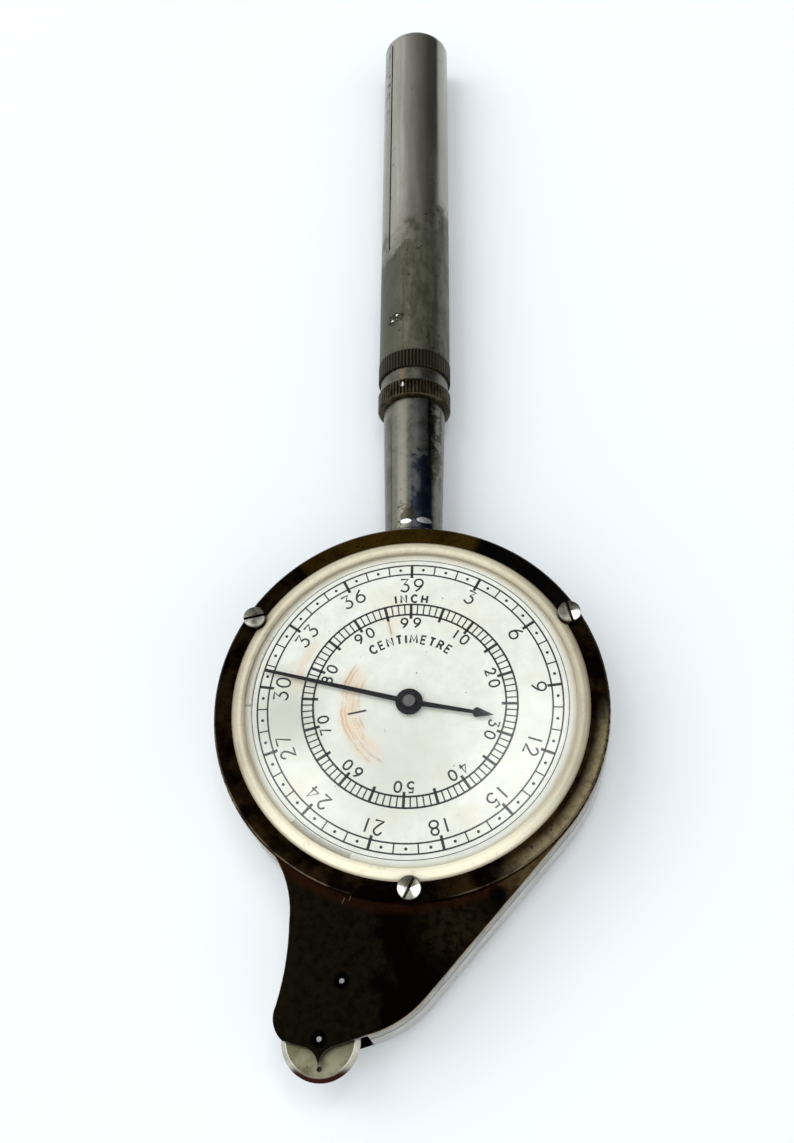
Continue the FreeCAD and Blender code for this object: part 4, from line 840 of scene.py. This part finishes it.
def dull_metal(name, colour, rough):
    """Turned or cut metal inside the case, faintly clouded."""
    s = Shader(name, {"Metallic": 1.0})
    cloud = s.noise(900, detail=4)
    s.base(s.mix(s.ramp(cloud, 0.3, 0.7), tuple(c * 0.75 for c in colour), colour))
    s.roughness(s.ramp(cloud, 0.3, 0.7, rough, rough + 0.1))
    return s


class OPISOMETER_OT_case(bpy.types.Operator):
    """Finish the two shells and the bezel ring"""
    bl_idname = "opisometer.case"
    bl_label = "Finish the case"

    def execute(self, context):
        finish_with(case_patina(), "front_shell")
        finish_with(bezel_patina(), "bezel_ring")
        finish_with(side_nickel(), "rear_shell")
        return {"FINISHED"}


# Clockwise bearing of each bezel screw about the dial and the direction of its slot, in degrees, and
# how strong the painted highlight fans on its head are, to the right and to the left.
BEZEL_SCREWS = ((-59.5, 11.4, 0.12, 0.12), (60.7, 104.5, 0.85, 0.0), (179.5, 64.1, 0.75, 0.45))


class OPISOMETER_OT_screws(bpy.types.Operator):
    """Turn the three bezel screws, cut their slots and give all screws their finish"""
    bl_idname = "opisometer.screws"
    bl_label = "Make the screws"

    def execute(self, context):
        p = context.scene.opisometer_pieces
        depth = 2 * p.screw_rise
        deselect()
        bpy.ops.mesh.primitive_cylinder_add(vertices=64, radius=p.screw_head, depth=depth)
        screw = context.object
        settle(screw, Matrix.Translation((0, 0, p.screw_rise - depth / 2)))
        round_top(screw, p.screw_edge)
        deselect()
        bpy.ops.mesh.primitive_cube_add(size=1)
        slot = context.object
        settle(slot, Matrix.Translation((0, 0, p.screw_rise)) @
               Matrix.Diagonal((3 * p.screw_head, p.slot_width, 2 * p.slot_depth, 1)))
        only(screw)
        cut = screw.modifiers.new("Slot", "BOOLEAN")
        cut.object = slot
        cut.solver = "EXACT"
        bpy.ops.object.modifier_apply(modifier=cut.name)
        bpy.data.objects.remove(slot)
        bpy.ops.object.shade_smooth_by_angle(angle=math.radians(25))
        screws = []
        for bearing, slot_turn, _, _ in BEZEL_SCREWS:
            twin = copy_of(screw)
            turn = Matrix.Rotation(math.radians(slot_turn), 4, "Z")
            x, y = (p.screw_circle * f(math.radians(bearing)) for f in (math.sin, math.cos))
            settle(twin, Matrix.Translation((x, y, BEZEL_TOP)) @ turn)
            screws.append(twin)
        bpy.data.objects.remove(screw)
        piece = merged(screws, "bezel_screws_turned")
        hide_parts("bezel_screws")
        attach(piece, "case")
        finish_with(screw_steel(), "bezel_screws_turned", "back_screws")
        return {"FINISHED"}


class OPISOMETER_OT_dial(bpy.types.Operator):
    """Paint the dial, the ring round it and the crystal"""
    bl_idname = "opisometer.dial"
    bl_label = "Finish the dial and crystal"

    def execute(self, context):
        finish_with(dial_paper(), "dial_plate")
        finish_with(old_ivory(), "dial_surround")
        crystal = smooth_twin("crystal", "crystal_clear", 30)
        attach(crystal, "case")
        finish_with(clear_glass(), "crystal_clear")
        return {"FINISHED"}


class OPISOMETER_OT_needle(bpy.types.Operator):
    """Widen the end of the needle's long arm, and blacken the needle and its collet"""
    bl_idname = "opisometer.needle"
    bl_label = "Finish the needle"

    def execute(self, context):
        needle = smooth_twin("needle", "needle_blued", 30)
        reach = max(v.co.xy.length for v in needle.data.vertices)
        ends = [v for v in needle.data.vertices if v.co.xy.length > 0.98 * reach]
        middle = sum((v.co for v in ends), Vector()) / len(ends)
        across = Vector((-middle.y, middle.x, 0)).normalized()
        for vertex in ends:
            offset = (vertex.co - middle).dot(across)
            vertex.co += across * (math.copysign(context.scene.opisometer_pieces.needle_tip / 2, offset) - offset)
        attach(needle, "centre")
        finish_with(needle_black(), "needle_blued", "needle_collet")
        return {"FINISHED"}


class OPISOMETER_OT_handle(bpy.types.Operator):
    """Finish the stem, the collar and the handle"""
    bl_idname = "opisometer.handle"
    bl_label = "Finish the handle"

    def execute(self, context):
        p = context.scene.opisometer_pieces
        cut = p.lip_length * (1 - p.lip_share)
        stem = smooth_twin("stem_ferrule", "stem_drawn", 30)
        for vertex in stem.data.vertices:
            if vertex.co.y > STEM_TOP - 0.01 * MM:
                vertex.co.y += cut
        collar = smooth_twin("stem_collar", "collar_turned", 30)
        for vertex in collar.data.vertices:
            above = vertex.co.y - STEM_TOP
            if -0.01 * MM < above < p.lip_length:
                vertex.co.y += cut * (1 - above / p.lip_length)
        sleeve = smooth_twin("handle_tube", "handle_sleeve", 30)
        slit_end = TUBE_LOW[1] + p.slit_foot
        for vertex in sleeve.data.vertices:
            if abs(vertex.co.y - slit_end) < 0.02 * MM:
                vertex.co.y += p.slit_cut
        axis = Vector((0, 0, HANDLE_AXIS))
        settle(sleeve, Matrix.Translation(axis) @ Matrix.Rotation(p.slit_turn, 4, "Y") @ Matrix.Translation(-axis))
        for piece, body in ((stem, "case"), (collar, "case"), (sleeve, "handle")):
            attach(piece, body)
        finish_with(stem_nickel(), "stem_drawn")
        finish_with(collar_nickel(), "collar_turned")
        radius = (CAP_HIGH[0] - CAP_LOW[0]) / 2
        deselect()
        bpy.ops.mesh.primitive_cylinder_add(vertices=96, radius=radius, depth=p.cap_length)
        cap = context.object
        settle(cap, Matrix.Translation((0, 0, p.cap_length / 2)))
        round_top(cap, p.cap_edge)
        settle(cap, Matrix.Translation((0, TUBE_HIGH[1], HANDLE_AXIS)) @
               Matrix.Rotation(math.radians(-90), 4, "X"))
        only(cap)
        bpy.ops.object.shade_smooth_by_angle(angle=math.radians(30))
        cap.name = cap.data.name = "handle_end"
        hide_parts("handle_end_cap")
        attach(cap, "handle")
        finish_with(tube_nickel(), "handle_sleeve", "handle_end")
        return {"FINISHED"}


class OPISOMETER_OT_train(bpy.types.Operator):
    """Finish the tracing wheel and what turns inside the case"""
    bl_idname = "opisometer.train"
    bl_label = "Finish the wheels"

    def execute(self, context):
        finish_with(wheel_nickel(), "tracing_wheel")
        finish_with(dull_metal("train_brass", (0.60, 0.43, 0.17), 0.25), "second_wheel", "idler_wheel",
                    "centre_wheel", "centre_bush", "stem_block", "handle_bush")
        finish_with(dull_metal("arbor_steel", (0.20, 0.20, 0.20), 0.25), "tracing_pinion", "tracing_arbor",
                    "second_pinion", "second_arbor", "idler_arbor", "handle_stud")
        finish_with(dull_metal("centre_steel", (0.13, 0.125, 0.125), 0.30), "centre_arbor")
        finish_with(dull_metal("pillar_brass", (0.030, 0.020, 0.010), 0.40), "case_pillars")
        return {"FINISHED"}


# ---------------------------------------------------------------- printing on the dial

def ink_finish():
    s = bpy.data.materials.get("dial_ink")
    if s is not None:
        return s
    settings = bpy.context.scene.opisometer_dial
    shader = Shader("dial_ink", {"Roughness": 0.6})
    fade = shader.noise(2500, detail=3)
    light = tuple(c * 2.2 for c in settings.ink)
    shader.base(shader.mix(shader.ramp(fade, 0.35, 0.7), tuple(settings.ink), light))
    return shader.material


def printed(objects, name):
    """Join printed shapes into one piece that stands on the dial."""
    piece = merged(objects, name)
    piece.data.materials.clear()
    piece.data.materials.append(ink_finish())
    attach(piece, "case")
    return piece


def track(count, step, outer, inner, foot, line, settings):
    """Ticks between two circles; every step-th tick is bold and runs on to the foot radius."""
    height = settings.ink_height
    turn = math.degrees(settings.turn)
    shapes = [flat_ring(radius, line, height) for radius in (outer, inner)]
    for ring in shapes:
        settle(ring, on_dial(0, 0))
    thin = flat_bar(settings.tick, inner, outer, height)
    bold = flat_bar(settings.bold, foot, outer, height)
    for i in range(count):
        tick = copy_of(bold if i % step == 0 else thin)
        settle(tick, on_dial(turn + 360 * i / count, 0))
        shapes.append(tick)
    for pattern in (thin, bold):
        bpy.data.objects.remove(pattern)
    return shapes


class OPISOMETER_OT_tracks(bpy.types.Operator):
    """Print the inch track, the centimetre track and the border"""
    bl_idname = "opisometer.tracks"
    bl_label = "Print the tracks"

    def execute(self, context):
        d = context.scene.opisometer_dial
        turn = math.degrees(d.turn)
        inches = track(d.inch_count, d.inch_step, d.inch_outer, d.inch_inner, d.inch_bold, d.line, d)
        dot = flat_disc(d.dot, d.ink_height)
        middle = (d.inch_outer + d.inch_inner) / 2
        for i in range(d.inch_count):
            mark = copy_of(dot)
            settle(mark, on_dial(turn + 360 * (i + 0.5) / d.inch_count, middle))
            inches.append(mark)
        bpy.data.objects.remove(dot)
        border = flat_ring(d.border, d.hairline, d.ink_height)
        settle(border, on_dial(0, 0))
        printed(inches + [border], "inch_track")
        cells = track(d.cell_count, d.cell_step, d.cell_outer, d.cell_inner, d.cell_bold, d.cell_line, d)
        printed(cells, "centimetre_track")
        return {"FINISHED"}


def oval(x, y, wide, high):
    """Closed stroke round a middle, as points that the line passes smoothly."""
    return [(x, y + high, 1), (x + wide, y, 1), (x, y - high, 1), (x - wide, y, 1), (x, y + high, 1)]


# Single-line figures and capitals of height 1: width, then strokes. A point with a third value is passed
# smoothly, the others are corners.
SIGNS = {
    "0": (0.64, [oval(0.32, 0.5, 0.32, 0.5)]),
    "1": (0.20, [[(0.10, 0), (0.10, 1)]]),
    "2": (0.62, [[(0.02, 0.76, 1), (0.30, 1, 1), (0.58, 0.74, 1), (0.45, 0.47, 1), (0, 0), (0.62, 0)]]),
    "3": (0.60, [[(0.04, 1), (0.57, 1), (0.26, 0.60), (0.49, 0.53, 1), (0.60, 0.30, 1), (0.48, 0.07, 1),
                  (0.28, 0, 1), (0, 0.14)]]),
    "4": (0.64, [[(0.46, 0), (0.46, 1), (0, 0.28), (0.64, 0.28)]]),
    "5": (0.60, [[(0.53, 1), (0.15, 1), (0.08, 0.57), (0.30, 0.64, 1), (0.60, 0.33, 1), (0.29, 0, 1),
                  (0, 0.13)]]),
    "6": (0.62, [oval(0.31, 0.30, 0.31, 0.30), [(0.50, 1), (0.12, 0.62, 1), (0, 0.32)]]),
    "7": (0.58, [[(0, 1), (0.58, 1), (0.20, 0)]]),
    "8": (0.60, [oval(0.30, 0.76, 0.25, 0.24), oval(0.30, 0.26, 0.30, 0.26)]),
    "9": (0.62, [oval(0.31, 0.70, 0.31, 0.30), [(0.12, 0), (0.50, 0.38, 1), (0.62, 0.68)]]),
    "C": (0.66, [[(0.66, 0.84), (0.38, 1, 1), (0, 0.5, 1), (0.38, 0, 1), (0.66, 0.16)]]),
    "E": (0.50, [[(0.50, 1), (0, 1), (0, 0), (0.50, 0)], [(0, 0.52), (0.44, 0.52)]]),
    "H": (0.62, [[(0, 0), (0, 1)], [(0.62, 0), (0.62, 1)], [(0, 0.5), (0.62, 0.5)]]),
    "I": (0.04, [[(0.02, 0), (0.02, 1)]]),
    "M": (0.80, [[(0, 0), (0.08, 1), (0.40, 0.25), (0.72, 1), (0.80, 0)]]),
    "N": (0.64, [[(0, 0), (0, 1), (0.64, 0), (0.64, 1)]]),
    "R": (0.56, [[(0, 0), (0, 1), (0.30, 1), (0.54, 0.76, 1), (0.30, 0.52), (0, 0.52)],
                 [(0.30, 0.52), (0.56, 0)]]),
    "T": (0.58, [[(0, 1), (0.58, 1)], [(0.29, 1), (0.29, 0)]]),
}


def drawn_sign(sign, height, line, thickness):
    """One figure or capital drawn with a line of even width, its middle on the origin."""
    width, strokes = SIGNS[sign]
    deselect()
    bpy.ops.curve.primitive_bezier_curve_add()
    obj = bpy.context.object
    curve = obj.data
    curve.splines.clear()
    curve.bevel_depth = line / height / 2
    curve.bevel_resolution = 1
    curve.resolution_u = 5
    curve.use_fill_caps = True
    for points in strokes:
        spline = curve.splines.new("BEZIER")
        spline.use_cyclic_u = points[0] == points[-1]
        points = points[:-1] if spline.use_cyclic_u else points
        spline.bezier_points.add(len(points) - 1)
        for knot, point in zip(spline.bezier_points, points):
            knot.co = (point[0], point[1], 0)
            knot.handle_left_type = knot.handle_right_type = "AUTO" if len(point) == 3 else "VECTOR"
    bpy.ops.object.convert(target="MESH")
    flatten = Matrix.Diagonal((height, height, thickness * height / line, 1))
    settle(obj, flatten @ Matrix.Translation((-width / 2, -0.5, 0)))
    return obj


def line_of_signs(text, heading, radius, height, gap, line, thickness, patterns):
    """Signs set side by side along a circle of the dial, the whole centred on a clockwise heading."""
    widths = [SIGNS[sign][0] * height for sign in text]
    start = -(sum(widths) + gap * (len(text) - 1)) / 2
    placed = []
    for sign, width in zip(text, widths):
        if (sign, height) not in patterns:
            patterns[sign, height] = drawn_sign(sign, height, line, thickness)
        twin = copy_of(patterns[sign, height])
        settle(twin, on_dial(heading + math.degrees((start + width / 2) / radius), radius))
        placed.append(twin)
        start += width + gap
    return placed


def clear_patterns(patterns):
    for pattern in patterns.values():
        bpy.data.objects.remove(pattern)


class OPISOMETER_OT_numbers(bpy.types.Operator):
    """Print the numbers of both tracks"""
    bl_idname = "opisometer.numbers"
    bl_label = "Print the numbers"

    def execute(self, context):
        d = context.scene.opisometer_dial
        turn = math.degrees(d.turn)
        patterns = {}
        inches = range(d.inch_step, d.inch_count + 1, d.inch_step)
        cells = [*range(d.number_step, d.cell_count, d.number_step), d.cell_count]
        for name, values, count, radius, height, gap in (
                ("inch_numbers", inches, d.inch_count, d.inch_number, d.inch_height, d.inch_gap),
                ("centimetre_numbers", cells, d.cell_count, d.cell_number, d.cell_height, d.cell_gap)):
            shapes = []
            for value in values:
                shapes += line_of_signs(str(value), turn + 360 * value / count, radius, height, gap,
                                        d.pen, d.ink_height, patterns)
            printed(shapes, name)
        clear_patterns(patterns)
        return {"FINISHED"}


class OPISOMETER_OT_units(bpy.types.Operator):
    """Print the name of each track's unit"""
    bl_idname = "opisometer.units"
    bl_label = "Print the units"

    def execute(self, context):
        d = context.scene.opisometer_dial
        patterns = {}
        for word, radius, height, gap in (("INCH", d.inch_word, d.inch_word_height, d.inch_word_gap),
                                          ("CENTIMETRE", d.cell_word, d.cell_word_height, d.cell_word_gap)):
            shapes = line_of_signs(word, math.degrees(d.turn), radius, height, gap, d.word_pen,
                                   d.ink_height, patterns)
            printed(shapes, word.lower() + "_word")
        clear_patterns(patterns)
        return {"FINISHED"}


# ---------------------------------------------------------------- stage

def look(eye, target, roll):
    """Matrix of a camera at eye that looks at target, with +Y of the part upwards."""
    forward = (target - eye).normalized()
    right = forward.cross(Vector((0, 1, 0))).normalized()
    up = right.cross(forward)
    turned = Matrix((right, up, -forward)).transposed().to_4x4()
    return Matrix.Translation(eye) @ turned @ Matrix.Rotation(roll, 4, "Z")


# Name, place, size, turn in degrees and power of the soft lamps, all turned to the dial. The two panels
# stand where the crystal mirrors them low on its left and right.
LAMPS = (
    ("window_lamp", (-0.55, 0.22, 0.60), (0.50, 0.50), 0, 1.2),
    ("left_panel", (-0.188, 0.103, 0.55), (0.10, 0.115), 36, 0.25),
    ("right_panel", (0.090, 0.128, 0.55), (0.13, 0.16), -22, 0.42),
)


def area_light(name, place, size, turn, power):
    """Rectangular lamp at a place, turned to the middle of the dial."""
    data = bpy.data.lights.new(name, "AREA")
    data.shape = "RECTANGLE"
    data.size, data.size_y = size
    data.energy = power
    lamp = bpy.data.objects.new(name, data)
    bpy.context.collection.objects.link(lamp)
    lamp.matrix_world = look(Vector(place), Vector((0, 0, 0)), math.radians(turn))


# Brightness of the surroundings behind the part's head, from left to right.
HEAD_LIGHT = ((0.0, 0.95), (0.22, 0.92), (0.50, 0.42), (0.70, 0.17), (0.90, 0.03))


def studio_sky(scene):
    """Surroundings: bright towards the foot of the part, and behind its head bright left and dark right."""
    world = bpy.data.worlds.new("studio")
    scene.world = world
    world.use_nodes = True
    tree = world.node_tree
    coords = tree.nodes.new("ShaderNodeTexCoord")
    split = tree.nodes.new("ShaderNodeSeparateXYZ")
    tree.links.new(coords.outputs["Generated"], split.inputs[0])
    centred = tree.nodes.new("ShaderNodeMapRange")
    centred.inputs["From Min"].default_value = -1
    tree.links.new(split.outputs["X"], centred.inputs["Value"])
    head = tree.nodes.new("ShaderNodeValToRGB")
    tree.links.new(centred.outputs["Result"], head.inputs["Fac"])
    stops = head.color_ramp.elements
    for at, level in HEAD_LIGHT[1:-1]:
        stops.new(at).color = (level, level, level, 1)
    for stop, (at, level) in ((stops[0], HEAD_LIGHT[0]), (stops[-1], HEAD_LIGHT[-1])):
        stop.position = at
        stop.color = (level, level, level, 1)
    strength = tree.nodes.new("ShaderNodeMapRange")
    strength.interpolation_type = "SMOOTHSTEP"
    strength.inputs["From Min"].default_value = 0.02
    strength.inputs["From Max"].default_value = 0.34
    strength.inputs["To Min"].default_value = 1.25
    tree.links.new(head.outputs["Color"], strength.inputs["To Max"])
    tree.links.new(split.outputs["Y"], strength.inputs["Value"])
    background = tree.nodes["Background"]
    background.inputs["Color"].default_value = (0.95, 0.975, 1.0, 1)
    tree.links.new(strength.outputs["Result"], background.inputs["Strength"])


class OPISOMETER_OT_stage(bpy.types.Operator):
    """Lay the floor and set the lights and the camera"""
    bl_idname = "opisometer.stage"
    bl_label = "Set the stage"

    def execute(self, context):
        stage = context.scene.opisometer_stage
        deselect()
        bpy.ops.mesh.primitive_plane_add(size=3.0, location=(0, 0, 0))
        floor = context.object
        floor.name = "floor"
        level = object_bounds()[0][2] - stage.floor_gap
        settle(floor, Matrix.Translation((0, 0, level)))
        s = Shader("floor_paper", {"Roughness": 0.9})
        cloud = s.noise(8, detail=2)
        s.base(s.mix(s.ramp(cloud, 0.3, 0.7), tuple(c * 0.985 for c in stage.floor), tuple(stage.floor)))
        floor.data.materials.append(s.material)
        floor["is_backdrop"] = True
        studio_sky(context.scene)
        for lamp in LAMPS:
            area_light(*lamp)
        context.scene.view_settings.view_transform = "Standard"
        data = bpy.data.cameras.new("camera")
        data.lens = stage.lens
        data.sensor_width = 36
        data.clip_start = 0.01
        camera = bpy.data.objects.new("camera", data)
        context.collection.objects.link(camera)
        camera.matrix_world = look(Vector(stage.eye), Vector(stage.target), stage.roll)
        context.scene.camera = camera
        return {"FINISHED"}


# ---------------------------------------------------------------- panel and registration

STEPS = [OPISOMETER_OT_case, OPISOMETER_OT_screws, OPISOMETER_OT_dial, OPISOMETER_OT_tracks,
         OPISOMETER_OT_numbers, OPISOMETER_OT_units, OPISOMETER_OT_needle, OPISOMETER_OT_handle,
         OPISOMETER_OT_train, OPISOMETER_OT_stage]


class OPISOMETER_PT_panel(bpy.types.Panel):
    """Settings and steps of the map measurer"""
    bl_idname = "OPISOMETER_PT_panel"
    bl_label = "Opisometer"
    bl_space_type = "VIEW_3D"
    bl_region_type = "UI"
    bl_category = "Opisometer"

    def draw(self, context):
        for name, group in SETTINGS.items():
            box = self.layout.box()
            for prop in group.__annotations__:
                box.prop(getattr(context.scene, name), prop)
        for step in STEPS:
            self.layout.operator(step.bl_idname)


CLASSES = [*SETTINGS.values(), *STEPS, OPISOMETER_PT_panel]


def register():
    for cls in CLASSES:
        bpy.utils.register_class(cls)
    for name, group in SETTINGS.items():
        setattr(bpy.types.Scene, name, PointerProperty(type=group))


def unregister():
    for name in SETTINGS:
        delattr(bpy.types.Scene, name)
    for cls in reversed(CLASSES):
        bpy.utils.unregister_class(cls)


def main():
    register()
    for step in STEPS:
        group, name = step.bl_idname.split(".")
        getattr(getattr(bpy.ops, group), name)()


if __name__ == "__main__":
    main()
